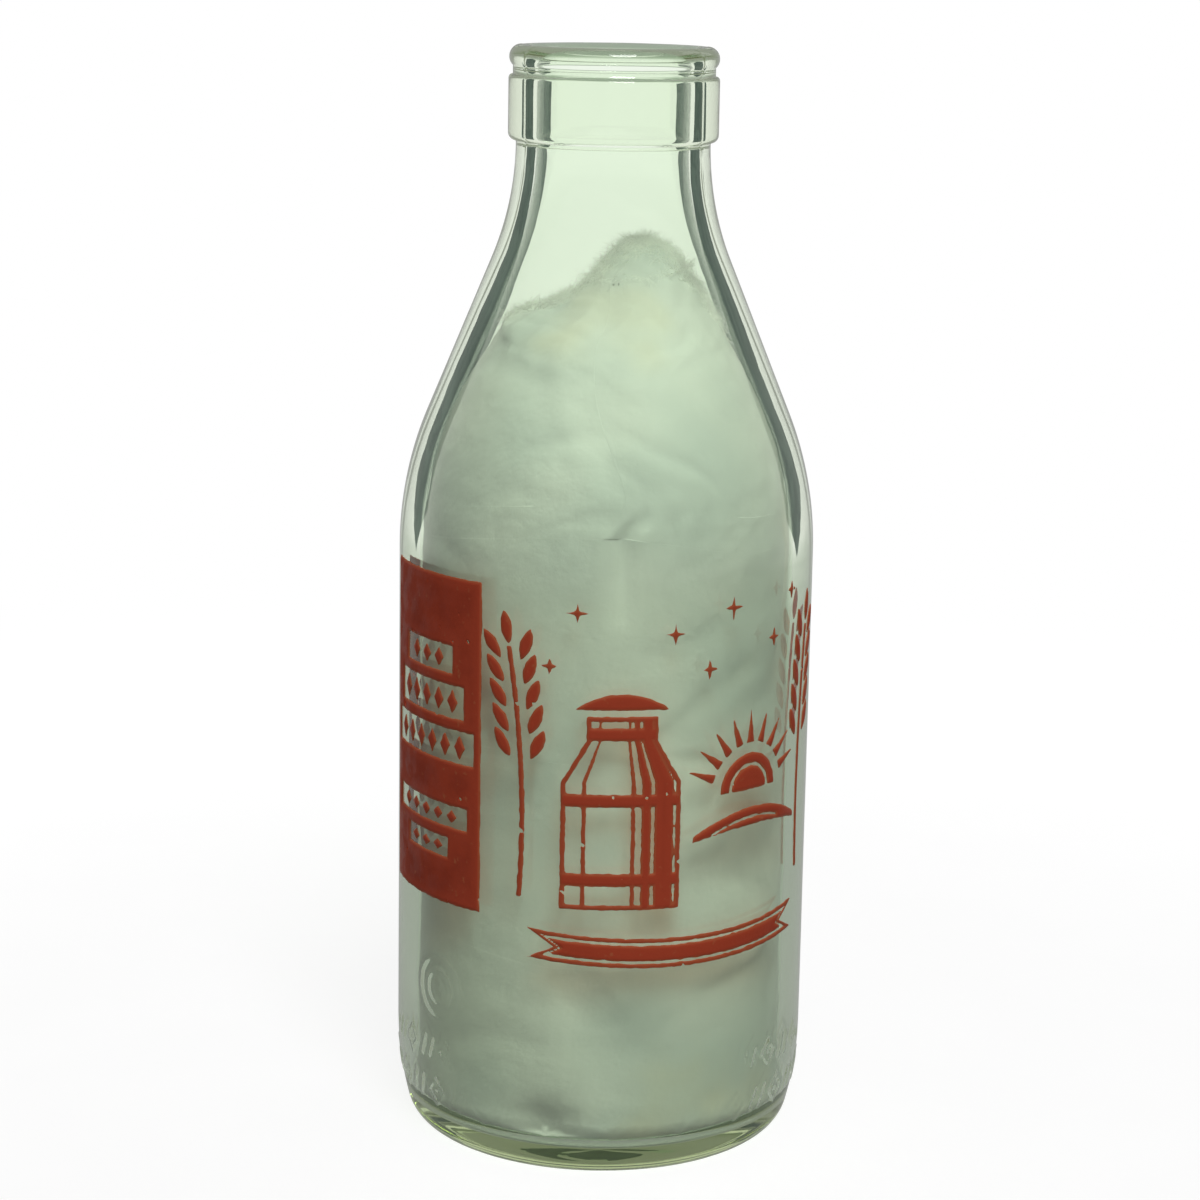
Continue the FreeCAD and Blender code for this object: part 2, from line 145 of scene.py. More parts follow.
class GlassSizes(bpy.types.PropertyGroup):
    """Sizes of the moulded glass."""
    body_wall: length("Body wall", "Thickness of the body's wall", 3.8)
    neck_wall: length("Neck wall", "Thickness of the neck's wall", 3.75)
    floor_thickness: length("Floor", "Thickness of the floor at its middle", 4.5)
    push_up: length("Push-up", "Rise of the base's middle", 3.0)
    bearing_width: length("Bearing ring", "Width of the ring that the bottle stands on", 2.5)
    heel_round: length("Heel round", "Small radius at the foot", 6.0)
    heel_sweep: length("Heel sweep", "Large radius from the foot up to the body", 61.0)
    heel_height: length("Heel height", "Height at which the body is full", 20.0)
    inner_heel_round: length("Inner heel", "Radius between floor and wall inside", 4.5)
    floor_crown: length("Floor crown", "Rise of the floor's middle inside", 2.0)
    shoulder_sweep: length("Shoulder sweep", "Radius from the body into the slope", 69.3)
    shoulder_slope: angle("Shoulder slope", "Slope of the shoulder from upright", 22.4)
    neck_sweep: length("Neck sweep", "Radius from the slope into the neck", 57.4)
    bore_sweep: length("Bore sweep", "Radius from the slope into the bore", 57.0)
    collar_height: length("Collar height", "Height of the collar", 12.2)
    groove_depth: length("Groove depth", "Depth of the groove over the collar", 0.8)
    lip_round: length("Lip round", "Radius of the lip bead", 2.2)
    lip_inset: length("Lip inset", "How far the bead stands inside the collar", 0.1)
    lip_rise: length("Lip rise", "Height of groove and bead over the collar", 5.4)
    relief: length("Relief", "Height of the moulded marks", 0.2)
    relief_top: length("Relief top", "Height that the moulded marks reach", 42.0)
    seam: length("Mould seam", "Height of the seam lines of the mould", 0.12)
    ripple: length("Ripple", "Unevenness of the blown inside", 0.05)
    ice: length("Surface ripple", "Unevenness of the moulded outside", 0.03)


class WaddingSizes(bpy.types.PropertyGroup):
    """Sizes of the cotton wads."""
    clearance: length("Clearance", "How far cotton stays from the glass", 0.3)
    seam_gap: length("Seam gap", "Gap between neighbouring wads", 0.01)
    seam_fall: length("Seam fall", "How far the seams fall from the axis out to the body", 5.0)
    seam_sway: length("Seam sway", "How far the seams between wads rise and fall", 1.6)
    seam_valley: length("Seam valley", "How far the shoulder's wads draw in beside their seam", 0.8)
    seam_turn: angle("Seam turn", "How far the seam between the shoulder's wads swings about the axis", 7.0)
    half_middle: length("Half middle", "Distance from the axis to the middle of a shoulder wad", 10.0)
    crest_fall: length("Crest fall", "How far the crest would fall from the axis out to the body", 24.0)
    crest_round: length("Crest round", "How far the crest falls more at its front and back", 2.0)
    crest_shelf: length("Crest shelf", "How far the crest is raised on the left", 5.0)
    crest_blend: length("Crest blend", "How gently the crest bends down to the glass", 4.0)
    crest_lap: length("Crest lap", "How far the shoulder's wads lie against the glass", 6.0)
    tuft_sink: length("Tuft sink", "How deep the tuft sits under the crest", 15.0)
    tuft_gap: length("Tuft gap", "Gap round the tuft", 0.04)
    tuft_lap: length("Tuft lap", "How far the tuft's crown laps over the wads", 0.3)
    peak_side: length("Peak side", "How far right of the axis the crest peaks", 7.5)
    peak_rise: length("Peak rise", "How far the peak stands over the crest", 11.0)
    peak_reach: length("Peak reach", "How far the peak spreads", 11.2)
    fold_depth: length("Fold depth", "Depth of the long folds", 1.4)
    tuck_depth: length("Tuck depth", "Depth of the short tucks", 0.4)
    dent: length("Dent", "Depth of the hollow at the foot", 3.0)
    crease: length("Crease", "Depth of the crease where three wads meet at the front", 1.6)
    fluff: length("Fluff", "Depth of the fine unevenness", 0.08)
    tousle: length("Tousle", "Depth of the unevenness on the loose crest", 0.3)
    tuft_lump: length("Tuft lumps", "Depth of the lumps on the tuft's hidden side", 0.8)
    fibre_length: length("Fibre length", "Length of a loose fibre", 2.6)
    fibre_radius: length("Fibre radius", "Thickness of a loose fibre at its root", 0.045)
    fill: number("Fill", "How tightly the wads are packed", 0.7)


class EnamelSizes(bpy.types.PropertyGroup):
    """Sizes of the fired enamel."""
    thickness: length("Thickness", "Thickness of the fired layer", 0.25)
    seat: length("Seat", "Gap between glass and enamel", 0.01)
    step: length("Step", "Mesh size of the printed fields", 0.3)
    edge_round: length("Edge round", "How far in from its edge the layer is full", 0.5)
    raggedness: length("Raggedness", "How far an edge wanders", 0.045)


class FinishColours(bpy.types.PropertyGroup):
    """Colours of the finishes, as linear values."""
    glass: colour("Glass", "What one wall lets through", (0.93, 1.0, 0.915))
    glass_shade: colour("Glass shade", "What one face leaves of a lamp's light", (0.93, 1.0, 0.93))
    glass_depth: colour("Glass depth", "What a depth of glass leaves of white light", (0.63, 0.68, 0.41))
    glass_density: number("Glass density", "How strongly the glass takes up light", 30.0)
    cotton: colour("Cotton", "Clean cotton", (0.82, 0.82, 0.79))
    cotton_thin: colour("Thin cotton", "Cotton that is less dense and lets light in", (0.65, 0.68, 0.66))
    cotton_old: colour("Aged cotton", "Yellowed patches", (0.78, 0.72, 0.58))
    enamel: colour("Enamel", "Fired brick red", (0.62, 0.09, 0.04))
    enamel_deep: colour("Deep enamel", "Thickest enamel", (0.50, 0.07, 0.032))
    enamel_edge: colour("Enamel edge", "Thin enamel along an edge", (0.62, 0.15, 0.065))
    enamel_glow: colour("Enamel glow", "What the thin layer leaves of a lamp's light", (0.78, 0.66, 0.6))


class StageSizes(bpy.types.PropertyGroup):
    """Camera, lamps and surroundings."""
    eye_back: length("Eye distance", "How far in front of the bottle the camera stands", 576.76)
    eye_height: length("Eye height", "Height of the camera", 226.53)
    pitch: angle("Pitch", "How far the camera looks down", 12.066)
    yaw: angle("Yaw", "How far the camera turns to the right", -0.103)
    roll: angle("Roll", "How far the camera leans", 0.963)
    lens: number("Lens", "Focal length on a 36 mm sensor", 91.97)
    ambient: number("Ambient", "Strength of the surrounding light", 0.1)
    key: number("Key", "Power of the lamp overhead in front, in watts", 23.5)
    fill: number("Fill", "Power of the lamp behind on the right, in watts", 0.4)
    back: number("Back", "Power of the lamp behind, which lights the bottle's back, in watts", 6.5)
    mirrored: number("Mirrored", "Brightness of the surroundings in mirror images", 0.4)
    beside: number("Beside", "Brightness of the room beside the bottle, seen in the glass", 0.4)
    under: number("Under", "Light that the floor gives to the bottle's underside", 0.12)
    flag_away: length("Flag distance", "How far from the bottle the dark flags stand", 400.0)
    flag_start: angle("Flag start", "How far beside the line of sight a flag darkens what crosses", 20.0)
    flag_split: angle("Flag split", "How far beside the line of sight a flag darkens all", 33.0)
    flag_foot: length("Flag foot", "Height at which the flags start on the diagonals", 45.0)
    flag_taper: length("Flag taper", "Rise of the lower edge for each radian off the diagonals", 240.0)
    flag_height: length("Flag height", "Height of the flags' tops", 300.0)


def smooth(edge_low, edge_high, values):
    """Smooth step from 0 at one edge to 1 at the other: 3t^2 - 2t^3."""
    t = np.clip((values - edge_low) / (edge_high - edge_low), 0, 1)
    return t * t * (3 - 2 * t)


def waves(points, shortest, longest, count, seed):
    """Soft random field: a sum of plane waves with seeded directions, lengths and phases, of unit spread."""
    rng = np.random.default_rng(seed)
    ways = rng.normal(size=(count, points.shape[-1]))
    ways /= np.linalg.norm(ways, axis=1, keepdims=True)
    pitches = rng.uniform(shortest, longest, count)
    phases = rng.uniform(0, 2 * math.pi, count)
    turns = points @ (ways * (2 * math.pi / pitches)[:, None]).T + phases
    return np.sin(turns).sum(axis=-1) * math.sqrt(2 / count)


def linked(name, mesh, material):
    """A new object with its mesh at the origin, smooth and with one material."""
    piece = bpy.data.objects.new(name, mesh)
    bpy.context.scene.collection.objects.link(piece)
    mesh.shade_smooth()
    mesh.materials.clear()
    mesh.materials.append(material)
    return piece


def mesh_from(name, points, faces):
    """A mesh from an array of points and a list of face arrays."""
    mesh = bpy.data.meshes.new(name)
    polygons = [face for block in faces for face in block.tolist()]
    mesh.from_pydata(points.tolist(), [], polygons)
    if mesh.validate():
        raise RuntimeError(f"{name} has faulty faces")
    mesh.update()
    return mesh


def arc(centre, radius, start, end, count):
    """Points centre + radius (cos, sin), at count angles from start to end."""
    turn = np.linspace(start, end, count)
    return np.column_stack((centre[0] + radius * np.cos(turn), centre[1] + radius * np.sin(turn)))


def between(start, end, count):
    """Evenly spaced points between two ends, without the ends."""
    return np.linspace(start, end, count + 2)[1:-1]


def glass_profile(glass):
    """The closed half section of the glass as four stretches of (radius, height) rows.

    Foot, relief band, upper outside, and inside from the mouth down to the floor. Arcs meet straight
    lines end to end, as the frame's own section does.
    """
    up = math.pi / 2
    slope = glass.shoulder_slope
    neck = BORE + glass.neck_wall
    groove = COLLAR - glass.groove_depth
    lip_centre = COLLAR - glass.lip_inset - glass.lip_round
    mouth_round = lip_centre - BORE
    collar_top = HEIGHT - glass.lip_rise
    collar_foot = collar_top - glass.collar_height
    step = COLLAR - neck
    sweeps = glass.shoulder_sweep + glass.neck_sweep
    cone = (BODY - neck - sweeps * (1 - math.cos(slope))) / math.sin(slope)
    body_top = collar_foot - sweeps * math.sin(slope) - cone * math.cos(slope)
    heel_turn = math.asin((glass.heel_height - glass.heel_round) / (glass.heel_sweep - glass.heel_round))
    foot = BODY - glass.heel_sweep + (glass.heel_sweep - glass.heel_round) * math.cos(heel_turn)
    bearing = foot - glass.bearing_width
    dome = (bearing ** 2 + glass.push_up ** 2) / (2 * glass.push_up)
    dome_turn = math.asin(bearing / dome)
    groove_turn = math.acos((groove - lip_centre) / glass.lip_round)

    inner_sweep = glass.shoulder_sweep - glass.body_wall
    cone_foot = BODY - glass.shoulder_sweep + inner_sweep * math.cos(slope)
    cone_head = BORE + glass.bore_sweep * (1 - math.cos(slope))
    cone_rise = (cone_foot - cone_head) / math.tan(slope)
    bore_foot = body_top + (inner_sweep + glass.bore_sweep) * math.sin(slope) + cone_rise
    floor_top = glass.push_up + glass.floor_thickness
    heel_x = BODY - glass.body_wall - glass.inner_heel_round
    heel_z = floor_top - glass.floor_crown + glass.inner_heel_round
    drop = floor_top - heel_z
    floor_dome = (heel_x ** 2 + drop ** 2 - glass.inner_heel_round ** 2) / (2 * glass.floor_crown)
    floor_turn = math.asin(heel_x / (floor_dome + glass.inner_heel_round))

    def chain(*stretches):
        return np.concatenate(stretches)

    def joined(first, count, second):
        return chain(first, between(first[-1], second[0], count), second)

    base = chain(
        arc((0, glass.push_up - dome), dome, up, up - dome_turn, 10)[1:],
        arc((foot, glass.heel_round), glass.heel_round, -up, -heel_turn, 10),
    )
    heel = arc((BODY - glass.heel_sweep, glass.heel_height), glass.heel_sweep, -heel_turn, 0, 37)[1:]
    band = chain(heel, np.linspace(heel[-1], (BODY, glass.relief_top), 52)[1:])
    shoulder = arc((BODY - glass.shoulder_sweep, body_top), glass.shoulder_sweep, 0, slope, 20)
    throat = arc((neck + glass.neck_sweep, collar_foot), glass.neck_sweep, math.pi + slope, math.pi, 20)
    collar = joined(
        arc((neck, collar_foot + step), step, -up, 0, 7),
        4,
        arc((groove, collar_top - glass.groove_depth), glass.groove_depth, 0, up, 6),
    )
    bead = arc((lip_centre, HEIGHT - glass.lip_round), glass.lip_round, -groove_turn, up, 14)
    upper = chain(between((BODY, glass.relief_top), shoulder[0], 22), shoulder)
    upper = chain(joined(upper, 8, throat), collar, bead)
    mouth = arc((lip_centre, HEIGHT - mouth_round), mouth_round, up, math.pi, 8)[1:]
    bore = arc((BORE + glass.bore_sweep, bore_foot), glass.bore_sweep, math.pi, math.pi + slope, 14)
    inner = arc((BODY - glass.shoulder_sweep, body_top), inner_sweep, slope, 0, 14)
    corner = arc((heel_x, heel_z), glass.inner_heel_round, 0, -up - floor_turn, 14)
    floor = arc((0, floor_top - floor_dome), floor_dome, up - floor_turn, up, 10)[1:-1]
    inside = joined(joined(joined(mouth, 8, bore), 8, inner), 20, corner)
    poles = (glass.push_up, floor_top)
    return base, band, upper, chain(inside, floor), poles


def stroke(distance, half_width):
    """A moulded stroke: 1 within its half width of a line, with soft flanks."""
    return 1 - smooth(0.35 * half_width, 1.25 * half_width, np.abs(distance))


def mark_row(around, rise, count, tall):
    """A ring of moulded marks: open lozenges, each with a dot, turn about with pairs of slanted bars.

    around is the share of a full turn, from 0 to 1. rise is the height over the row's middle. A lozenge
    is where |x| / a + |y| / b is 1. A bar is where x - slant y is constant.
    """
    pitch = 2 * math.pi * BODY / count
    cell = np.floor(around * count)
    x = ((around * count) % 1 - 0.5) * pitch
    reach = 0.36 * pitch
    lozenge = (np.abs(x) / reach + np.abs(rise) / tall - 1) * min(reach, tall) * 0.75
    dot = np.hypot(x, rise)
    lean = x - 0.35 * rise
    bars = np.minimum(np.abs(lean - 0.22 * pitch), np.abs(lean + 0.22 * pitch))
    open_mark = np.maximum(stroke(lozenge, MARK_WIDTH), stroke(dot, 1.3 * MARK_WIDTH))
    bar_mark = stroke(bars, MARK_WIDTH) * (1 - smooth(0.8 * tall, tall, np.abs(rise)))
    return np.where(cell % 2 == 0, open_mark, bar_mark)


def moulded_marks(turn, height):
    """Height, from 0 to 1, of all the moulded marks at an angle and a height on the outside."""
    around = (turn / (2 * math.pi)) % 1
    lower_row = mark_row(around, height - LOWER_MARKS, 38, 2.5 * MM)
    flank = np.abs(np.abs(turn) - FLANK_TURN)
    upper_row = mark_row(around, height - UPPER_MARKS, 42, 2.2 * MM) * (flank < FLANK_HALF)
    seal = np.hypot((turn - SEAL_TURN) * BODY, height - SEAL_HEIGHT)
    rings = np.maximum(stroke(seal - SEAL_RADIUS, 0.6 * MM), stroke(seal - SEAL_INNER_RADIUS, 0.5 * MM))
    boss = np.maximum(rings, 0.9 * stroke(seal, SEAL_DOT))
    return np.maximum(np.maximum(lower_row, upper_row), boss)


def wave_round(turn, height, seed, lobes, pitch):
    """Unevenness that closes on itself: a sum of sin(m turn + k height + phase) with whole m, within 1."""
    rng = np.random.default_rng(seed)
    total = np.zeros(np.broadcast(turn, height).shape)
    for lobe in lobes:
        way = rng.choice((-1, 1)) * rng.uniform(0.6, 1.4)
        total += np.sin(lobe * turn + way * 2 * math.pi * height / pitch + rng.uniform(0, 2 * math.pi))
    return total / len(lobes)


def glass_mesh(glass, coarse=160, finer=4, gather=0.4):
    """The bottle's wall as one closed skin: the half section turned round the axis.

    Each row (r, z) with normal n is moved by d n and turned: (r sin a, -r cos a, z). The columns draw
    together at the two mould seams, a = t + gather / 2 sin 2t. The relief band has finer columns, and
    fans of triangles join it to the coarse rows.
    """
    base, band, upper, inside, poles = glass_profile(glass)
    blocks = (base, band, upper, inside)
    rows = np.concatenate(blocks)
    along = np.gradient(rows, axis=0)
    normals = np.column_stack((along[:, 1], -along[:, 0])) / np.linalg.norm(along, axis=1)[:, None]
    starts = np.cumsum([0] + [len(block) for block in blocks])
    points = []
    grids = []
    total = 0
    for index, block in enumerate(blocks):
        columns = coarse * finer if index == 1 else coarse
        even = np.arange(columns) * (2 * math.pi / columns) - math.pi
        turn = (even + gather / 2 * np.sin(2 * even))[None, :]
        radius = block[:, :1]
        height = block[:, 1:]
        normal = normals[starts[index]:starts[index + 1]]
        if index < 3:
            push = -glass.ice * (0.5 + 0.5 * wave_round(turn, height, 5, (3, 5, 8, 11), 24 * MM))
            seam = np.exp(-((np.abs(turn) - math.pi / 2) * radius / MOULD_LINE_WIDTH) ** 2)
            parting = np.exp(-((height - PARTING_HEIGHT) / PARTING_WIDTH) ** 2)
            push = push + glass.seam * np.maximum(seam, parting) * smooth(3 * MM, 8 * MM, height)
            if index == 1:
                push = push + glass.relief * moulded_marks(turn, height)
        else:
            fade = smooth(*RIPPLE_FADE, height)
            push = glass.ripple * fade * wave_round(turn, height, 9, (2, 3, 5, 7), 46 * MM)
        r = radius + push * normal[:, :1]
        z = height + push * normal[:, 1:] + 0 * turn
        points.append(np.stack((r * np.sin(turn), -r * np.cos(turn), z), axis=-1).reshape(-1, 3))
        grids.append(total + np.arange(len(block) * columns).reshape(len(block), columns))
        total += len(block) * columns
    foot_pole = total
    floor_pole = total + 1
    points.append(np.array([(0, 0, poles[0]), (0, 0, poles[1])]))
    faces = [grid_faces(grid) for grid in grids]
    faces += fan_strip(grids[0][-1], grids[1][0], True)
    faces += fan_strip(grids[2][0], grids[1][-1], False)
    faces.append(grid_faces(np.stack((grids[2][-1], grids[3][0]))))
    first = grids[0][0]
    last = grids[3][-1]
    faces.append(np.column_stack((np.full(coarse, foot_pole), np.roll(first, -1), first)))
    faces.append(np.column_stack((np.full(coarse, floor_pole), last, np.roll(last, -1))))
    return mesh_from("glass_bottle_skin", np.concatenate(points), faces)


def grid_faces(grid):
    """Quads of a grid of point numbers that closes round its columns."""
    near = grid[:-1]
    far = grid[1:]
    corners = (near, np.roll(near, -1, axis=1), np.roll(far, -1, axis=1), far)
    return np.stack(corners, axis=-1).reshape(-1, 4)


def fan_strip(coarse, fine, fine_above):
    """Triangles between a coarse ring and a fine one, each coarse edge facing a run of fine edges."""
    share = len(fine) // len(coarse)
    half = share // 2
    runs = fine.reshape(len(coarse), share)
    after = np.roll(runs, -1, axis=0)[:, :1]
    runs = np.concatenate((runs, after), axis=1)
    ahead = np.roll(coarse, -1)
    triangles = []
    for step in range(share):
        tip = coarse if step < half else ahead
        triangles.append(np.column_stack((tip, runs[:, step + 1], runs[:, step])))
    triangles.append(np.column_stack((coarse, ahead, runs[:, half])))
    if fine_above:
        return triangles
    return [block[:, ::-1] for block in triangles]


def vertex_arrays(mesh):
    """A mesh's points and normals as arrays."""
    points = np.empty(3 * len(mesh.vertices))
    mesh.vertices.foreach_get("co", points)
    normals = np.empty(3 * len(mesh.vertices))
    mesh.vertex_normals.foreach_get("vector", normals)
    return points.reshape(-1, 3), normals.reshape(-1, 3)


def closed_mesh(name, rows):
    """A closed mesh from rows of points round an axis, with a fan of triangles at each end."""
    count, columns = rows.shape[:2]
    grid = np.arange(count * columns).reshape(count, columns)
    foot = np.full(columns, count * columns)
    ends = np.stack((rows[0].mean(axis=0), rows[-1].mean(axis=0)))
    faces = [
        grid_faces(grid),
        np.column_stack((foot, np.roll(grid[0], -1), grid[0])),
        np.column_stack((foot + 1, grid[-1], np.roll(grid[-1], -1))),
    ]
    mesh = mesh_from(name, np.concatenate((rows.reshape(-1, 3), ends)), faces)
    mesh.set_sharp_from_angle(angle=math.radians(50))
    return mesh


def cavity_wall(height):
    """Distance from the axis to the glass inside, at a height over the inner heel."""
    rows = glass_profile(bpy.context.scene.bottle_glass)[3]
    rows = rows[np.argmax(rows[:, 0])::-1]
    return np.interp(height, rows[:, 1], rows[:, 0])


def cavity_floor(radius):
    """Height of the glass inside at a distance from the axis: the crowned floor, then the inner heel."""
    glass = bpy.context.scene.bottle_glass
    heel = glass.push_up + glass.floor_thickness - glass.floor_crown + glass.inner_heel_round
    rows = glass_profile(glass)[3]
    rows = rows[rows[:, 1] < heel + 0.001 * MM][::-1]
    return np.interp(radius, rows[:, 0], rows[:, 1])


def cavity_height(radius):
    """Height at which the cavity narrows to a radius, between the body and the bore."""
    rows = glass_profile(bpy.context.scene.bottle_glass)[3]
    rows = rows[np.argmax(rows[:, 0])::-1]
    rows = rows[:np.argmin(rows[:, 0]) + 1][::-1]
    return np.interp(radius, rows[:, 0], rows[:, 1])


def swung(points, sizes):
    """Turns the shoulder's wads to and fro about the axis with height, so that their seam wanders too."""
    turn = sizes.seam_turn * np.sin(2 * math.pi * (points[:, 2] - SWING_START) / SWING_PITCH)
    turn = turn * smooth(*SWING_RISE, points[:, 2]) * smooth(2 * MM, 12 * MM, tuft_distance(points))
    x = points[:, 0] * np.cos(turn) - points[:, 1] * np.sin(turn)
    y = points[:, 0] * np.sin(turn) + points[:, 1] * np.cos(turn)
    return np.column_stack((x, y, points[:, 2]))


def folds(points, sizes):
    """How far cotton draws in: soft folds and tucks along the zero lines of random fields.

    A fold is exp(-(f / w)^2) where f is the field, so it is deepest where f is 0. A second field decides
    how strongly each stretch is folded. One dent at the foot and one crease at the front are set one by one.
    """
    long_field = waves(points, 48 * MM, 85 * MM, 6, 33)
    short_field = waves(points, 20 * MM, 34 * MM, 8, 34)
    drawn = smooth(-0.5, 1.2, waves(points, 50 * MM, 80 * MM, 5, 35))
    tucked = smooth(-0.2, 1.3, waves(points, 30 * MM, 60 * MM, 5, 36))
    fine = waves(points, 3 * MM, 7 * MM, 12, 37)
    inward = sizes.fold_depth * drawn * np.exp(-(long_field / 0.5) ** 2)
    inward = inward + sizes.tuck_depth * tucked * np.exp(-(short_field / 0.45) ** 2)
    turn = np.arctan2(points[:, 0], -points[:, 1])
    rise = points[:, 2]
    dent = np.exp(-((turn - DENT_TURN) / 0.16) ** 2 - ((rise - DENT_HEIGHT) / (5 * MM)) ** 2)
    crease = np.exp(-((turn - CREASE_TURN) / 0.07) ** 2 - ((rise - CREASE_HEIGHT) / (9 * MM)) ** 2)
    inward = inward + sizes.dent * dent + sizes.crease * crease
    tousled = sizes.tousle * smooth(*TOUSLE_RISE, rise)
    return inward + (sizes.fluff + tousled) * (1 + 0.5 * fine)


def tuft_distance(points):
    """Distance from points to the tuft's solid, an upright capsule."""
    low, high = (np.array(corner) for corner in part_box("top_tuft"))
    radius = (high[0] - low[0]) / 2
    nearest = np.tile((low + high) / 2, (len(points), 1))
    nearest[:, 2] = np.clip(points[:, 2], low[2] + radius, high[2] - radius)
    return np.linalg.norm(points - nearest, axis=1) - radius


def floor_face(sizes):
    """Height of the lowest wad's underside: the cavity's floor, drawn in by the clearance."""
    full = cavity_wall(0)

    def height(x, y):
        return cavity_floor(np.hypot(x, y) * full / (full - sizes.clearance)) + sizes.clearance

    return height


def seam_face(node, sizes, lift):
    """Height of the seam over a body wad: a dome, apex - fall (r / body)^2, that sways a little."""
    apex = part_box(node)[1].z + lift

    def height(x, y):
        sway = waves(np.stack((x, y), axis=-1), 45 * MM, 80 * MM, 5, 21 + BODY_WADS.index(node))
        return apex - sizes.seam_fall * (x * x + y * y) / BODY ** 2 + 0.6 * sizes.seam_sway * sway

    return height


def hill_height(x, y, sizes):
    """Height of the cotton's top, wads and tuft together: a dome with a peak.

    The dome is apex - fall (r / body)^2. It is raised on the left, falls more towards its front and back,
    and the peak adds rise exp(-(d / reach)^2.4), with d the distance from the peak. Where the hill h meets
    the glass g it bends down along it: -b log(exp(-h / b) + exp(-g / b)).
    """
    around = np.hypot(x, y)
    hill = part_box("top_tuft")[0].z + sizes.tuft_sink - sizes.crest_fall * (around / BODY) ** 2
    hill = hill + sizes.crest_shelf * smooth(*SHELF_REACH, x)
    ends = smooth(0.15, 0.75, np.abs(y) / np.maximum(around, MM))
    hill = hill - sizes.crest_round * ends * np.clip((around - 10 * MM) / (16 * MM), 0, 1.05) ** 2
    away = np.hypot(x - sizes.peak_side, y)
    hill = hill + sizes.peak_rise * np.exp(-(away / sizes.peak_reach) ** 2.4)
    glass = cavity_height(around + sizes.clearance)
    return -sizes.crest_blend * np.logaddexp(-hill / sizes.crest_blend, -glass / sizes.crest_blend)


def crest_face(sizes):
    """Height of the shoulder wads' top: the hill, with the tuft's pocket in it.

    The pocket is a half ball, centre - sqrt(radius^2 - away^2), wherever that is lower.
    """
    low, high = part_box("top_tuft")
    ball = (high.x - low.x) / 2

    def height(x, y):
        away = np.hypot(x - (low.x + high.x) / 2, y)
        hill = hill_height(x, y, sizes)
        deep = np.sqrt(np.maximum((ball + sizes.clearance) ** 2 - away ** 2, 0))
        pocket = low.z + ball - deep
        return np.where(away < ball + 0.5 * sizes.tuft_gap, np.minimum(hill, pocket), hill)

    return height


def snapped(x, y, sizes):
    """Places with those close to the rim of the tuft's pocket moved onto it."""
    low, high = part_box("top_tuft")
    middle = (low.x + high.x) / 2
    rim = (high.x - low.x) / 2 + sizes.tuft_gap
    away = np.maximum(np.hypot(x - middle, y), 0.1 * MM)
    scale = np.where(np.abs(away - rim) < 0.6 * MM, rim / away, 1)
    return middle + (x - middle) * scale, y * scale


def wad_columns(hand):
    """Directions round a wad: a full turn, or for a half the wall from front to back and then its flat face.

    The columns of a half draw together at the two edges of its flat face.
    """
    if not hand:
        turn = np.linspace(0, 2 * math.pi, 221)[:-1]
        return np.sin(turn), -np.cos(turn)
    share = np.linspace(0, 1, 150)
    turn = math.pi * share - 0.45 * np.sin(2 * math.pi * share)
    flat = np.cos(np.linspace(0, math.pi, 72))[1:-1]
    right = np.concatenate((np.sin(turn), np.zeros(len(flat))))
    back = np.concatenate((-np.cos(turn), flat))
    return hand * right[::hand], back[::hand]


def wad_rows(hand, lower, upper, sizes):
    """Rows of points over a wad: out over its underside, up along the glass, and in again on top.

    The sides lie at the clearance from the glass. The rows draw together at the two rims.
    """
    right, back = wad_columns(hand)
    middle = hand * sizes.half_middle

    def outline(height):
        wall = cavity_wall(height) - sizes.clearance
        x = wall * right
        if hand:
            x = hand * np.maximum(np.abs(x), sizes.seam_gap / 2)
        return x, wall * back

    def rim(face):
        height = np.full(len(right), HEIGHT / 2)
        for _ in range(12):
            height = face(*outline(height))
        return height

    def disc(edge, face):
        share = np.sin(np.linspace(0, math.pi / 2, 60 if hand else 30))[1:-1, None]
        x = middle + share * (edge[:, 0] - middle)
        y = share * edge[:, 1]
        if hand and face is upper:
            x, y = snapped(x, y, sizes)
        return np.stack((x, y, face(x, y)), axis=-1)

    low = rim(lower)
    high = low + sizes.crest_lap if hand else rim(upper)
    rise = (1 - np.cos(np.linspace(0, math.pi, 30))[:, None]) / 2
    height = low + (high - low) * rise
    side = np.stack((*outline(height), height), axis=-1)
    return np.concatenate((disc(side[0], lower), side, disc(side[-1], upper)[::-1]))


def cotton_wad(node, sizes, material):
    """One handful of cotton in the space of its frame solid, drawn in along folds at glass and crest."""
    hand = HANDS.get(node, 0)
    if hand:
        lower = seam_face(BODY_WADS[-1], sizes, sizes.seam_gap)
        upper = crest_face(sizes)
    else:
        place = BODY_WADS.index(node)
        lower = seam_face(BODY_WADS[place - 1], sizes, sizes.seam_gap) if place else floor_face(sizes)
        upper = seam_face(node, sizes, 0)
    rows = wad_rows(hand, lower, upper, sizes)
    points = rows.reshape(-1, 3)
    around = np.hypot(points[:, 0], points[:, 1])
    near = smooth(3 * MM, 0.6 * MM, cavity_wall(points[:, 2]) - around)
    free = np.abs(points[:, 2] - crest_face(sizes)(points[:, 0], points[:, 1])) < 0.01 * MM
    depth = folds(points, sizes)
    if hand:
        beside = smooth(MM, 8 * MM, tuft_distance(points)) * smooth(*VALLEY_RISE, points[:, 2])
        depth = depth + sizes.seam_valley * beside * np.exp(-(points[:, 0] / (4 * MM)) ** 2)
    points[:, :2] *= 1 - (near * depth / np.maximum(around, MM))[:, None]
    points[:, 2] -= (1 - near) * free * depth
    if hand:
        points = swung(points, sizes)
    piece = linked(node + "_cotton", closed_mesh(node + "_cotton", points.reshape(rows.shape)), material)
    return padded_piece(node, piece, "bottle")


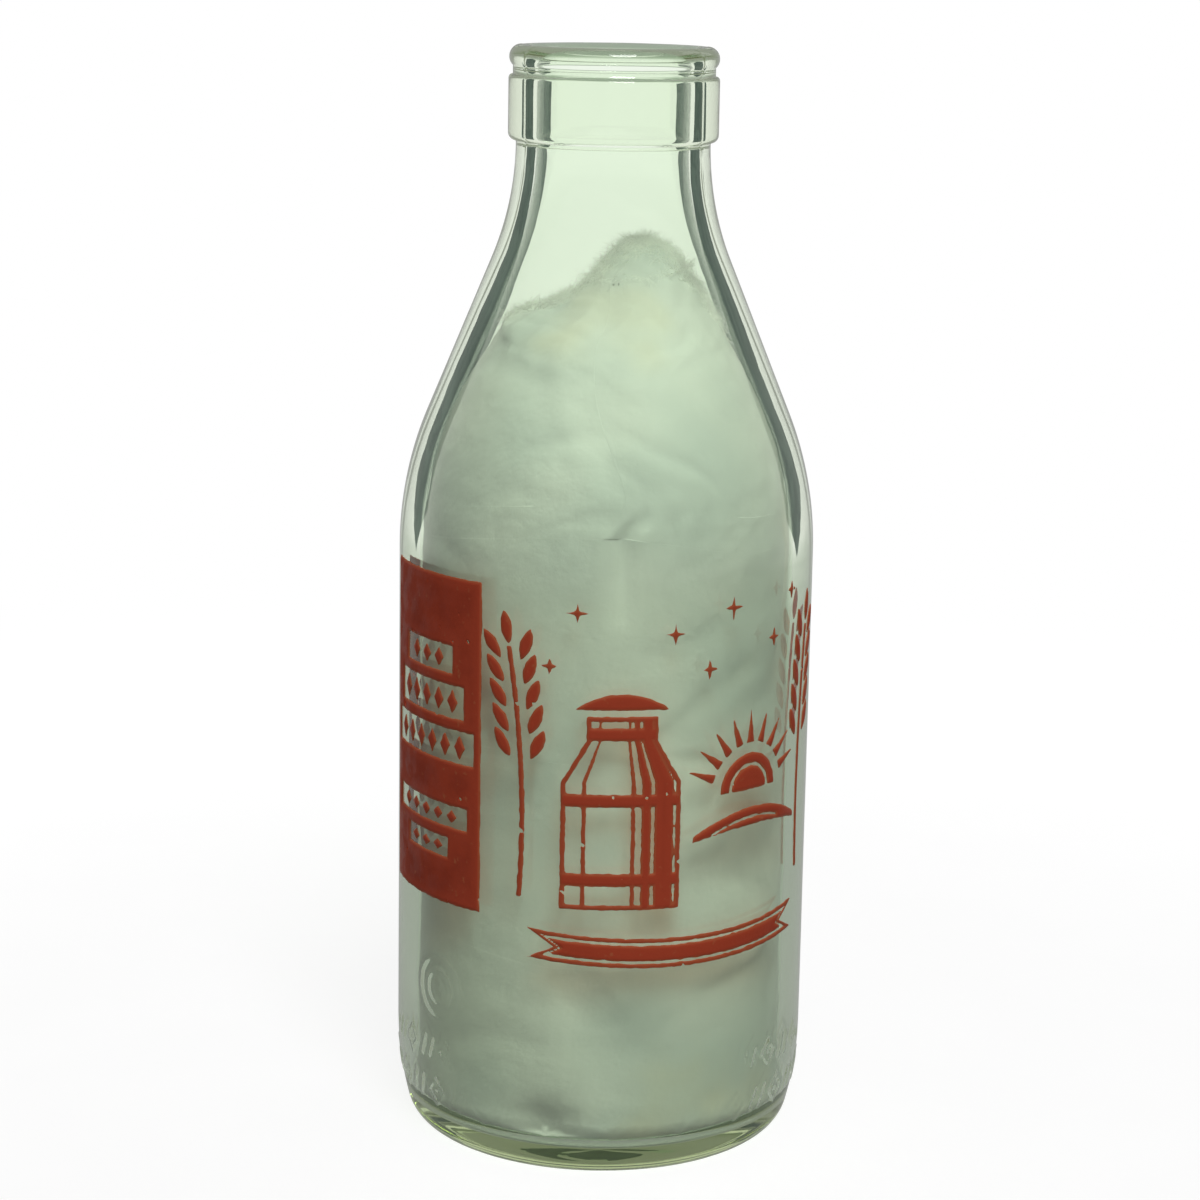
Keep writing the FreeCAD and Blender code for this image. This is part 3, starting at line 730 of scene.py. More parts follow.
def tuft_rows(sizes):
    """Rows of points over the tuft: a half ball, an upright side, and the hill's peak as its crown.

    The crown laps over the wads round it by a thin edge.
    """
    low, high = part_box("top_tuft")
    middle = (low.x + high.x) / 2
    ball = (high.x - low.x) / 2
    turn = np.linspace(0, 2 * math.pi, 121)[:-1]

    def ring(radius):
        return middle + radius * np.sin(turn), -radius * np.cos(turn)

    def hill(radius, lift):
        x, y = ring(radius)
        points = np.stack((x, y, hill_height(x, y, sizes)), axis=-1)
        points[..., 2] += lift - folds(points.reshape(-1, 3), sizes).reshape(x.shape)
        return points

    def lumpy(points, depth=1.0):
        flat = points.reshape(-1, 3)
        broad = 0.4 * waves(flat, 6 * MM, 12 * MM, 14, 71)
        fine = 0.12 * waves(flat, 2 * MM, 4 * MM, 14, 72)
        spread = np.clip(0.5 + broad + fine, 0, 1.5).reshape(points.shape[:-1]) * depth
        axis = np.tile((middle, 0, 0), (len(flat), 1))
        axis[:, 2] = np.maximum(flat[:, 2], low.z + ball)
        return points + (axis - flat).reshape(points.shape) * (sizes.tuft_lump / ball * spread)[..., None]

    slim = ball - sizes.clearance
    lap = ball + sizes.tuft_lap
    foot = arc((0, low.z + ball), slim, -math.pi / 2, 0, 30)[1:]
    x, y = ring(foot[:, :1])
    foot = lumpy(np.stack((x, y, foot[:, 1:] + 0 * turn), axis=-1))
    under = hill(np.linspace(slim, lap, 5)[:, None], 0.02 * MM)
    x, y = ring(slim)
    start = np.stack((x, y, low.z + ball + 0 * turn), axis=-1)
    rise = np.linspace(0, 1, 24)[1:-1, None]
    side = lumpy(start + rise[..., None] * (under[0] - start), smooth(1.0, 0.5, rise))
    crown = hill(lap * np.sin(np.linspace(math.pi / 2, 0, 40))[:-1, None], 0.05 * MM)
    return np.concatenate((foot, side, under, crown))


def padded_piece(node, piece, body):
    """Attaches a wad to a body, on which it rides, and hides the frame node that it stands for."""
    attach(piece, body)
    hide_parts(node)
    return piece


def fibre_mesh(name, roots, normals, sizes, limit, seed):
    """Loose fibres, each a thin three-sided tube along a curl that rises from its root and lies over.

    A fibre's line is root + reach t + curl (side sin, cross cos), thinner towards its end. Points are
    held within a distance of the bottle's axis that depends on their height.
    """
    rng = np.random.default_rng(seed)
    count = len(roots)
    rings = 5
    sides = 3
    along = np.linspace(0, 1, rings)[None, :, None]
    wander = rng.normal(size=(count, 3))
    wander -= normals * (wander * normals).sum(1, keepdims=True)
    wander /= np.linalg.norm(wander, axis=1, keepdims=True)
    cross = np.cross(normals, wander)
    lift = rng.uniform(0.05, 0.75, (count, 1))
    reach = (wander + normals * lift) * (sizes.fibre_length * rng.uniform(0.35, 1.25, (count, 1)))
    bend = rng.normal(0, 0.32, (count, 1, 1)) * sizes.fibre_length
    curl = rng.uniform(0.02, 0.09, (count, 1, 1)) * sizes.fibre_length
    phase = rng.uniform(0, 2 * math.pi, (count, 1, 1)) + along * rng.uniform(3, 9, (count, 1, 1))
    line = roots[:, None, :] + reach[:, None, :] * along
    line = line + cross[:, None, :] * (bend * along ** 2 + curl * np.sin(phase))
    line = line + normals[:, None, :] * curl * np.cos(phase) * along
    around = np.hypot(line[..., 0], line[..., 1])
    line[..., :2] *= np.minimum(1, limit(line[..., 2]) / np.maximum(around, MM))[..., None]
    turn = np.arange(sides) * (2 * math.pi / sides)
    radius = sizes.fibre_radius * (1 - 0.7 * along[..., None])
    ring = normals[:, None, None, :] * np.cos(turn)[None, None, :, None]
    ring = ring + cross[:, None, None, :] * np.sin(turn)[None, None, :, None]
    points = (line[:, :, None, :] + ring * radius).reshape(-1, 3)
    grid = np.arange(count * rings * sides).reshape(count, rings, sides)
    near = grid[:, :-1]
    far = grid[:, 1:]
    quads = np.stack((near, np.roll(near, -1, axis=2), np.roll(far, -1, axis=2), far), axis=-1)
    caps = np.concatenate((grid[:, 0, ::-1], grid[:, -1]))
    return mesh_from(name, points, [quads.reshape(-1, 4), caps])


def fibre_piece(name, roots, normals, sizes, limit, seed, body):
    """Loose fibres as a piece that rides on a body and throws no shadow."""
    fibres = linked(name, fibre_mesh(name, roots, normals, sizes, limit, seed), finish("loose_fibre"))
    fibres.visible_shadow = False
    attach(fibres, body)


def scattered(piece, count, chance, seed):
    """Points and normals picked at random from a piece, more often where chance is high."""
    points, normals = vertex_arrays(piece.data)
    weight = chance(points, normals)
    rng = np.random.default_rng(seed)
    picked = rng.choice(len(points), count, p=weight / weight.sum())
    return points[picked], normals[picked]


def box_distance(x, z, half_width, half_height):
    """Signed distance to an upright rectangle round the origin, negative inside."""
    side = np.abs(x) - half_width
    end = np.abs(z) - half_height
    outside = np.hypot(np.maximum(side, 0), np.maximum(end, 0))
    return outside + np.minimum(np.maximum(side, end), 0)


def side_of(x, z, start, end):
    """Signed distance to a straight line, positive on the right of the way from start to end."""
    run = np.subtract(end, start)
    return ((x - start[0]) * run[1] - (z - start[1]) * run[0]) / np.hypot(*run)


def contour_field(field, x, z):
    """The region where a field is negative on a grid, as points, faces and border edges.

    Marching squares: each cell's corners are walked in order, and a border point is put on each edge
    where the field changes sign, at the place where it is 0 on a straight line between the corners.
    """
    rows, columns = field.shape
    corner = np.arange(rows * columns).reshape(rows, columns)
    across = rows * columns + np.arange(rows * (columns - 1)).reshape(rows, columns - 1)
    upright = rows * (2 * columns - 1) + np.arange((rows - 1) * columns).reshape(rows - 1, columns)
    grid_x, grid_z = np.meshgrid(x, z)
    flat = np.column_stack((grid_x.ravel(), grid_z.ravel()))

    def crossing(first, second, start, end):
        step = first - second
        share = np.clip(first / np.where(step == 0, 1, step), 0, 1)[..., None]
        return (start + share * (end - start)).reshape(-1, 2)

    place = flat.reshape(rows, columns, 2)
    side_points = crossing(field[:, :-1], field[:, 1:], place[:, :-1], place[:, 1:])
    end_points = crossing(field[:-1], field[1:], place[:-1], place[1:])
    points = np.concatenate((flat, side_points, end_points))
    inside = field < 0
    corners = (corner[:-1, :-1], corner[:-1, 1:], corner[1:, 1:], corner[1:, :-1])
    edges = (across[:-1], upright[:, 1:], across[1:], upright[:, :-1])
    flags = (inside[:-1, :-1], inside[:-1, 1:], inside[1:, 1:], inside[1:, :-1])
    case = flags[0] + 2 * flags[1] + 4 * flags[2] + 8 * flags[3]
    faces = []
    border = []
    for shape in range(1, 16):
        cells = case == shape
        if not cells.any():
            continue
        walk = []
        leaving = []
        for index in range(4):
            here = shape >> index & 1
            ahead = shape >> (index + 1) % 4 & 1
            if here:
                walk.append(corners[index][cells])
            if here != ahead:
                walk.append(edges[index][cells])
                if here:
                    leaving.append(len(walk) - 1)
        faces.append(np.column_stack(walk))
        for index in leaving:
            border.append(np.column_stack((walk[index], walk[(index + 1) % len(walk)])))
    used, numbers = np.unique(np.concatenate([face.ravel() for face in faces]), return_inverse=True)
    renumber = np.zeros(len(points), int)
    renumber[used] = np.arange(len(used))
    return points[used], [renumber[face] for face in faces], renumber[np.concatenate(border)]


def enamel_piece(node, distance, reach, sizes, material, wrap):
    """One printed node: the region inside a signed distance, as a thin fired layer on the glass.

    distance takes arrays of places in millimetres and gives millimetres. reach is the region's corners.
    The layer's edge is ragged and rounded. wrap turns places into angles.
    """
    step = sizes.step / MM
    x = np.arange(reach[0] - 2 * step, reach[2] + 3 * step, step)
    z = np.arange(reach[1] - 2 * step, reach[3] + 3 * step, step)
    grid_x, grid_z = np.meshgrid(x, z)
    places = np.stack((grid_x, grid_z), axis=-1)
    seed = sum(map(ord, node))
    ragged = sizes.raggedness / MM * waves(places, 1.2, 4, 14, seed)
    pits = 2.55 - waves(places, 1.6, 3.4, 16, seed + 1)
    field = np.maximum(distance(grid_x, grid_z) + ragged, -0.5 * pits)
    field[0] = field[-1] = step
    field[:, 0] = field[:, -1] = step
    flat, faces, border = contour_field(field, x, z)
    depth = np.clip(-distance(flat[:, 0], flat[:, 1]), 0, None) * MM
    inner = BODY + sizes.seat
    outer = inner + sizes.thickness * (0.3 + 0.7 * smooth(0, sizes.edge_round, depth))
    turn = wrap(flat[:, 0] * MM)
    height = flat[:, 1] * MM
    ways = np.column_stack((np.sin(turn), -np.cos(turn)))
    top = np.column_stack((ways * outer[:, None], height))
    bottom = np.column_stack((ways * inner, height))
    count = len(flat)
    walls = np.column_stack((border[:, 1], border[:, 0], border[:, 0] + count, border[:, 1] + count))
    under = [face[:, ::-1] + count for face in faces]
    mesh = mesh_from(node + "_layer", np.concatenate((top, bottom)), faces + under + [walls])
    edge = mesh.attributes.new("edge", "FLOAT", "POINT")
    edge.data.foreach_set("value", np.tile(depth / MM, 2).astype(np.float32))
    piece = linked(node + "_layer", mesh, material)
    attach(piece, "bottle")
    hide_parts(node)
    return piece


def new_material(name):
    """A new material and its node tree, the nodes emptied."""
    material = bpy.data.materials.new(name)
    material.use_nodes = True
    material.node_tree.nodes.clear()
    return material, material.node_tree


def add(tree, kind, values=None, **settings):
    """Adds a node, sets its properties, and sets or links its inputs by name or number."""
    node = tree.nodes.new(kind)
    for name, value in settings.items():
        setattr(node, name, value)
    for name, value in (values or {}).items():
        if isinstance(value, bpy.types.NodeSocket):
            tree.links.new(value, node.inputs[name])
        else:
            node.inputs[name].default_value = value
    return node


def opaque(rgb):
    """A colour with full alpha."""
    return (*rgb, 1.0)


def worked(tree, operation, first, second, **settings):
    """The result of a Math node on two masks or numbers."""
    return add(tree, "ShaderNodeMath", {0: first, 1: second}, operation=operation, **settings).outputs[0]


def either(tree, first, second):
    """The greater of two masks."""
    return worked(tree, "MAXIMUM", first, second)


def between_levels(tree, mask, low, high):
    """A level that goes from low to high with a mask."""
    return add(tree, "ShaderNodeMapRange", {"Value": mask, "To Min": low, "To Max": high}).outputs[0]


def stepped(tree, value, start, end, low=0.0, high=1.0):
    """A smooth step from low, where a value is at start, to high, where it is at end."""
    node = add(tree, "ShaderNodeMapRange", {
        "Value": value, "From Min": start, "From Max": end, "To Min": low, "To Max": high},
        interpolation_type="SMOOTHSTEP")
    return node.outputs[0]


def bumped(tree, height, strength, distance):
    """A normal from a bump of a height mask."""
    node = add(tree, "ShaderNodeBump", {"Height": height, "Strength": strength, "Distance": distance})
    return node.outputs[0]


def let_through(tree, mask, skin, tint):
    """A shader that, where a mask is 1, gives way to one that only tints what passes straight through."""
    clear = add(tree, "ShaderNodeBsdfTransparent", {"Color": opaque(tint)})
    return add(tree, "ShaderNodeMixShader", {0: mask, 1: skin.outputs[0], 2: clear.outputs[0]}).outputs[0]


def mottle_group():
    """Node group: soft blotches between two levels of a noise at a scale in blotches per metre."""
    if "Mottle" in bpy.data.node_groups:
        return bpy.data.node_groups["Mottle"]
    group = bpy.data.node_groups.new("Mottle", "ShaderNodeTree")
    for name, default in (("Scale", 100.0), ("Detail", 3.0), ("Low", 0.4), ("High", 0.6)):
        socket = group.interface.new_socket(name, in_out="INPUT", socket_type="NodeSocketFloat")
        socket.default_value = default
    group.interface.new_socket("Mask", in_out="OUTPUT", socket_type="NodeSocketFloat")
    inlet = add(group, "NodeGroupInput")
    place = add(group, "ShaderNodeTexCoord")
    noise = add(group, "ShaderNodeTexNoise", {
        "Vector": place.outputs["Object"],
        "Scale": inlet.outputs["Scale"],
        "Detail": inlet.outputs["Detail"]})
    mask = stepped(group, noise.outputs[0], inlet.outputs["Low"], inlet.outputs["High"])
    add(group, "NodeGroupOutput", {"Mask": mask})
    return group


def mottle(tree, scale, detail=3.0, low=0.4, high=0.6):
    """The mask of a mottle group placed in a material with its own values."""
    node = add(tree, "ShaderNodeGroup", node_tree=mottle_group())
    for name, value in (("Scale", scale), ("Detail", detail), ("Low", low), ("High", high)):
        node.inputs[name].default_value = value
    return node.outputs["Mask"]


def blended(tree, mask, first, second):
    """A colour that goes from the first to the second with a mask."""
    node = add(tree, "ShaderNodeMix", data_type="RGBA")
    for socket, value in ((node.inputs[0], mask), (node.inputs[6], first), (node.inputs[7], second)):
        if isinstance(value, bpy.types.NodeSocket):
            tree.links.new(value, socket)
        else:
            socket.default_value = value
    return node.outputs[2]


def glass_material(colours):
    """Pale green glass: a clear refracting skin whose depth takes up some blue.

    Lamp light passes straight through it, and so do rays caught between its faces.
    """
    material, tree = new_material("moulded_glass")
    skin = add(tree, "ShaderNodeBsdfPrincipled", {
        "Base Color": opaque(colours.glass),
        "Roughness": between_levels(tree, mottle(tree, 60, 6.0, 0.5, 0.75), 0.0, 0.03),
        "IOR": 1.52,
        "Transmission Weight": 1.0,
        "Normal": bumped(tree, mottle(tree, 90, 2.0, 0.25, 0.75), 0.03, 0.4 * MM)})
    path = add(tree, "ShaderNodeLightPath")
    caught = worked(tree, "GREATER_THAN", path.outputs["Glossy Depth"], 2.5)
    straight = either(tree, path.outputs["Is Shadow Ray"], caught)
    depth = add(tree, "ShaderNodeVolumeAbsorption", {
        "Color": opaque(colours.glass_depth), "Density": colours.glass_density})
    surface = let_through(tree, straight, skin, colours.glass_shade)
    add(tree, "ShaderNodeOutputMaterial", {"Surface": surface, "Volume": depth.outputs[0]})
    return material


def cotton_material(colours):
    """Cotton wool: soft white fibre with thinner, greyer clouds, yellowed patches and fine wisps."""
    material, tree = new_material("packed_cotton")
    clouds = mottle(tree, 26, 1.5, 0.4, 0.64)
    cloudy = blended(tree, clouds, opaque(colours.cotton), opaque(colours.cotton_thin))
    aged = blended(tree, mottle(tree, 22, 3.0, 0.56, 0.74), cloudy, opaque(colours.cotton_old))
    wisps = worked(tree, "MULTIPLY", mottle(tree, 500, 6.0, 0.3, 0.7), 0.3)
    tufts = worked(tree, "ADD", mottle(tree, 130, 4.0, 0.3, 0.7), wisps)
    skin = add(tree, "ShaderNodeBsdfPrincipled", {
        "Base Color": aged,
        "Roughness": 1.0,
        "Specular IOR Level": 0.1,
        "Normal": bumped(tree, tufts, 0.15, 0.5 * MM),
        "Sheen Weight": 0.1,
        "Sheen Roughness": 0.6})
    add(tree, "ShaderNodeOutputMaterial", {"Surface": skin.outputs[0]})
    return material


def fibre_material(colours):
    """Loose cotton fibre: white, rough and slightly uneven."""
    material, tree = new_material("loose_fibre")
    pale = tuple(min(1.0, 1.18 * value) for value in colours.cotton)
    tint = blended(tree, mottle(tree, 90, 2.0), opaque(colours.cotton), opaque(pale))
    skin = add(tree, "ShaderNodeBsdfPrincipled", {
        "Base Color": tint, "Roughness": 1.0, "Specular IOR Level": 0.1})
    add(tree, "ShaderNodeOutputMaterial", {"Surface": skin.outputs[0]})
    return material


def enamel_material(colours):
    """Fired enamel: brick red, deeper in blotches, thin and orange along its edges, satin and pitted.

    The layer is thin, so that part of a lamp's light comes through. Its edge attribute is the distance
    in from its border, in millimetres.
    """
    material, tree = new_material("fired_enamel")
    edge = add(tree, "ShaderNodeAttribute", attribute_name="edge").outputs["Fac"]
    inner = stepped(tree, edge, 0.05, 0.55)
    blotch = worked(tree, "MULTIPLY", mottle(tree, 160, 4.0, 0.3, 0.7), stepped(tree, edge, 0.6, 3.0))
    body = blended(tree, blotch, opaque(colours.enamel), opaque(colours.enamel_deep))
    body = blended(tree, mottle(tree, 700, 3.0, 0.62, 0.78), body, opaque(colours.enamel_edge))
    skin = add(tree, "ShaderNodeBsdfPrincipled", {
        "Base Color": blended(tree, inner, opaque(colours.enamel_edge), body),
        "Roughness": between_levels(tree, mottle(tree, 300, 4.0), 0.4, 0.6),
        "Specular IOR Level": 0.08,
        "Normal": bumped(tree, mottle(tree, 1400, 4.0, 0.3, 0.7), 0.25, 0.06 * MM)})
    path = add(tree, "ShaderNodeLightPath")
    surface = let_through(tree, path.outputs["Is Shadow Ray"], skin, colours.enamel_glow)
    add(tree, "ShaderNodeOutputMaterial", {"Surface": surface})
    return material


def finish(name):
    """A finish by name, made on first use from the scene's colours."""
    makers = {
        "moulded_glass": glass_material,
        "packed_cotton": cotton_material,
        "loose_fibre": fibre_material,
        "fired_enamel": enamel_material,
    }
    if name not in bpy.data.materials:
        makers[name](bpy.context.scene.bottle_colours)
    return bpy.data.materials[name]


class BOTTLE_OT_glass(bpy.types.Operator):
    """Makes the moulded glass: one skin of outside, mouth and cavity with its relief, seams and ripple"""
    bl_idname = "bottle.glass"
    bl_label = "Glass bottle"

    def execute(self, context):
        glass = context.scene.bottle_glass
        piece = linked("glass_bottle_skin", glass_mesh(glass), finish("moulded_glass"))
        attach(piece, "bottle")
        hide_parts("glass_bottle")
        return {"FINISHED"}


class BOTTLE_OT_wadding(bpy.types.Operator):
    """Makes the cotton wads in the body and at the shoulder, with loose fibres on their crest"""
    bl_idname = "bottle.wadding"
    bl_label = "Cotton wadding"

    def execute(self, context):
        sizes = context.scene.bottle_wadding
        cotton = finish("packed_cotton")
        for node in BODY_WADS:
            cotton_wad(node, sizes, cotton)
        crest = [cotton_wad(node, sizes, cotton) for node in HANDS]
        for piece in crest:
            roots, normals = scattered(piece, CREST_FIBRES, crest_chance, 51)
            name = piece.name.replace("_cotton", "_fibres")
            fibre_piece(name, roots, normals, sizes, cavity_limit, 52, "bottle")
        return {"FINISHED"}


class BOTTLE_OT_tuft(bpy.types.Operator):
    """Makes the loose tuft on top of the wadding, which lifts out through the neck"""
    bl_idname = "bottle.tuft"
    bl_label = "Top tuft"

    def execute(self, context):
        sizes = context.scene.bottle_wadding
        mesh = closed_mesh("top_tuft_cotton", tuft_rows(sizes))
        piece = linked("top_tuft_cotton", mesh, finish("packed_cotton"))
        padded_piece("top_tuft", piece, "lifting_tuft")
        roots, normals = scattered(piece, TUFT_FIBRES, tuft_chance, 61)
        hidden_roots, hidden_normals = scattered(piece, TUFT_FIBRES, hidden_chance, 63)
        hidden_roots = hidden_roots - hidden_normals * sizes.fibre_length / 4
        roots = np.concatenate((roots, hidden_roots))
        normals = np.concatenate((normals, hidden_normals))
        fibre_piece("top_tuft_fibres", roots, normals, sizes, tuft_limit, 62, "lifting_tuft")
        return {"FINISHED"}


def crest_chance(points, normals):
    """Fibres grow along the ridge of the crest."""
    ridge = smooth(7 * MM, 2 * MM, np.abs(points[:, 1]))
    return ridge * smooth(0.3, 0.8, normals[:, 2]) * smooth(*FIBRE_RISE, points[:, 2])


def tuft_chance(points, normals):
    """Fibres grow on the tuft's crown."""
    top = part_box("top_tuft")[1].z
    ridge = smooth(7 * MM, 3 * MM, np.abs(points[:, 1]))
    return ridge * smooth(-0.1, 0.5, normals[:, 2]) * smooth(top - 9 * MM, top - 5 * MM, points[:, 2])


def hidden_chance(points, normals):
    """Fibres grow on the tuft's side and foot too, which show when it is lifted."""
    return smooth(0.3, 0.0, normals[:, 2])


def cavity_limit(height):
    """Largest distance from the axis that a fibre in the cavity may reach at a height."""
    return cavity_wall(height) - 0.4 * MM


def tuft_limit(height):
    """The tuft's fibres stay within the bore, so that they pass it."""
    return np.full(np.shape(height), BORE - 0.5 * MM)


class BOTTLE_OT_enamel(bpy.types.Operator):
    """Makes the fired enamel: the side panel with its windows and the front picture's fields"""
    bl_idname = "bottle.enamel"
    bl_label = "Fired enamel"

    def execute(self, context):
        sizes = context.scene.bottle_enamel
        enamel = finish("fired_enamel")
        for node, (distance, reach, wrap) in enamel_fields().items():
            enamel_piece(node, distance, reach, sizes, enamel, wrap)
        return {"FINISHED"}


# Layout of the print in millimetres, with angles in degrees from the front
PANEL_ANGLE = -56.5
PANEL_WIDTH = 30.3
PANEL_WINDOWS = (
    (13.0, 5.2, 16.0),
    (20.4, 6.2, 22.0),
    (28.8, 6.2, 27.0),
    (43.4, 4.2, 24.0),
    (49.8, 3.8, 14.0),
)
LOZENGE_PITCH = 4.0
LOZENGE_WIDTH = 2.8
WINDOW_MARGIN = 0.8
PRINT_SPACING = 55.0
PICTURE_HEIGHT = 70.0
HILL_ENDS = (1.5, 29.0)
HILL_CREST = -7.5
HILL_FALL = 4.0
HILL_BAND = 3.4
HILL_TIP = 1.0
SUN_CENTRE = (14.0, -4.0)
SUN_RADIUS = 7.0
SUN_RAYS = 9
SUN_RAY_TURN = 17.5
RAY_START = 9.0
RAY_LENGTH = 6.0
RAY_WIDTH = 1.8
CHURN_MIDDLE = -12.5
CHURN_FOOT = -24.5
CHURN_BODY_RADIUS = 11.0
CHURN_BODY_HEIGHT = 24.0
CHURN_SHOULDER_HEIGHT = 8.0
CHURN_NECK_RADIUS = 6.5
CHURN_NECK_HEIGHT = 4.5
CHURN_LID_RADIUS = 8.6
CHURN_LID_HEIGHT = 3.0
CHURN_HOOP = 1.2
CHURN_HOOP_RISE = 4.5
CHURN_LINE = 0.9
WHEAT_FOOT = (31.5, -23.0)
WHEAT_TIP = (34.0, 24.0)
WHEAT_BOW = 1.5
WHEAT_STEM_WIDTH = 1.0
GRAIN_PAIRS = 5
GRAIN_PITCH = 4.6
GRAIN_LENGTH = 6.2
GRAIN_WIDTH = 2.3
GRAIN_SPREAD = 28.0
GRAIN_GAP = 0.4
RIBBON_HALF_WIDTH = 27.0
RIBBON_MIDDLE = -31.5
RIBBON_HEIGHT = 5.6
RIBBON_SAG = 1.6
RIBBON_NOTCH = 4.0
SPARKS = ((-26, 21), (-21, 31), (-3, 27), (4, 20), (9, 31), (20, 24), (26, 32))
SPARK_RADIUS = 2.0
SPARK_WAIST = 0.55

TOP = PRINT_TOP / MM
FOOT = PRINT_FOOT / MM
MIDDLE = TOP - PICTURE_HEIGHT / 2
PICTURE_ANGLE = math.radians(PANEL_ANGLE) + PRINT_SPACING * MM / BODY


def rolled(middle):
    """Wraps a print round the glass: an arc length from its middle becomes an angle."""
    return lambda x: middle + x / BODY


def projected(right):
    """Wraps a motif that was drawn flat before its place in the picture: x becomes an arc sine."""
    middle = PICTURE_ANGLE + right * MM / BODY
    return lambda x: middle + np.arcsin(x / BODY)


def windows():
    """Each panel window as its middle height, height and width."""
    return [(TOP - drop - tall / 2, tall, width) for drop, tall, width in PANEL_WINDOWS]


def panel_distance(x, z):
    """The side panel: an upright rectangle less its windows."""
    field = box_distance(x, z - (TOP + FOOT) / 2, PANEL_WIDTH / 2, (TOP - FOOT) / 2)
    for middle, tall, width in windows():
        field = np.maximum(field, -box_distance(x, z - middle, width / 2, tall / 2))
    return field


def lozenge_distance(x, z):
    """Rows of upright lozenges, |x| / a + |z| / b < 1, one row in each window."""
    field = np.full(np.shape(x), 9.0)
    for middle, tall, width in windows():
        count = int((width - 2 * WINDOW_MARGIN) / LOZENGE_PITCH)
        nearest = np.round(x / LOZENGE_PITCH - (count - 1) / 2 % 1) + (count - 1) / 2 % 1
        nearest = np.clip(nearest, -(count - 1) / 2, (count - 1) / 2)
        side = np.abs(x - nearest * LOZENGE_PITCH)
        lozenge = pointed(side, np.abs(z - middle), LOZENGE_WIDTH / 2, tall / 2 - WINDOW_MARGIN)
        field = np.minimum(field, lozenge)
    return field


def pointed(side, rise, half_width, half_height):
    """Signed distance to a lozenge's edge from places folded into one quarter."""
    within = side * half_height + rise * half_width - half_width * half_height
    return within / math.hypot(half_width, half_height)


def circle_through(half_span, rise):
    """Radius of the circle whose arc spans a width and rises by a height in its middle."""
    return (half_span ** 2 + rise ** 2) / (2 * rise)


def hill_distance(x, z):
    """A long hill: the band between two shallow arcs, with bare furrow lines along it."""
    half = (HILL_ENDS[1] - HILL_ENDS[0]) / 2
    crest = MIDDLE + HILL_CREST
    upper = circle_through(half, HILL_FALL)
    low_rise = HILL_FALL + HILL_TIP - HILL_BAND
    lower = circle_through(half, low_rise)
    above = np.hypot(x, z - crest + upper) - upper
    below = lower - np.hypot(x, z - crest + HILL_BAND + lower)
    furrow = np.abs(above + 0.55 * HILL_BAND) - 0.22
    furrow = np.maximum(furrow, np.abs(x + 1.5) - 0.62 * half)
    return np.maximum(np.maximum(np.maximum(above, below), np.abs(x) - half), -furrow)


def sun_distance(x, z):
    """A half disc with a bare arc inside it, and pointed rays round it."""
    rise = z - MIDDLE - SUN_CENTRE[1]
    out = np.hypot(x, rise)
    disc = np.maximum(out - SUN_RADIUS, -rise)
    disc = np.maximum(disc, 0.3 - np.abs(out - 0.68 * SUN_RADIUS))
    turn = np.arctan2(x, rise)
    step = math.radians(SUN_RAY_TURN)
    ray = np.clip(np.round(turn / step), -(SUN_RAYS // 2), SUN_RAYS // 2) * step
    along = x * np.sin(ray) + rise * np.cos(ray) - RAY_START
    aside = np.abs(x * np.cos(ray) - rise * np.sin(ray))
    flank = side_of(along, aside, (0, RAY_WIDTH / 2), (RAY_LENGTH, 0))
    return np.minimum(disc, np.maximum(-flank, -along))


def churn_distance(x, z):
    """A milk churn drawn in outline with solid hoops, a lid, and shading strokes on its right side."""
    foot = MIDDLE + CHURN_FOOT
    shoulder = foot + CHURN_BODY_HEIGHT
    neck = shoulder + CHURN_SHOULDER_HEIGHT
    brim = neck + CHURN_NECK_HEIGHT
    lid = brim + CHURN_HOOP
    width = np.interp(z, (shoulder, neck), (CHURN_BODY_RADIUS, CHURN_NECK_RADIUS))
    lean = np.where((z > shoulder) & (z < neck), 0.87, 1.0)
    hull = np.maximum((np.abs(x) - width) * lean, np.maximum(foot - z, z - brim))
    outline = np.abs(hull + CHURN_LINE / 2) - CHURN_LINE / 2
    ink = outline
    for height in (foot + CHURN_HOOP_RISE, shoulder - CHURN_HOOP_RISE, neck):
        ink = np.minimum(ink, np.abs(z - height - CHURN_HOOP) - CHURN_HOOP)
    share = x / width
    for place, thick in ((0.72, 0.16), (0.42, 0.08), (0.2, 0.035), (-0.62, 0.035)):
        ink = np.minimum(ink, (np.abs(share - place) - thick) * width)
    ink = np.maximum(ink, hull)
    crown = circle_through(CHURN_LID_RADIUS, CHURN_LID_HEIGHT)
    cap = np.maximum(np.hypot(x, z - lid - CHURN_LID_HEIGHT + crown) - crown, lid - z)
    return np.minimum(ink, cap)


def grain_distance(x, z, foot, turn):
    """A pointed grain between two arcs, from its foot along a direction."""
    along = (x - foot[0]) * math.cos(turn) + (z - foot[1]) * math.sin(turn) - GRAIN_LENGTH / 2
    aside = np.abs(-(x - foot[0]) * math.sin(turn) + (z - foot[1]) * math.cos(turn))
    radius = circle_through(GRAIN_LENGTH / 2, GRAIN_WIDTH / 2)
    return np.hypot(along, aside + radius - GRAIN_WIDTH / 2) - radius


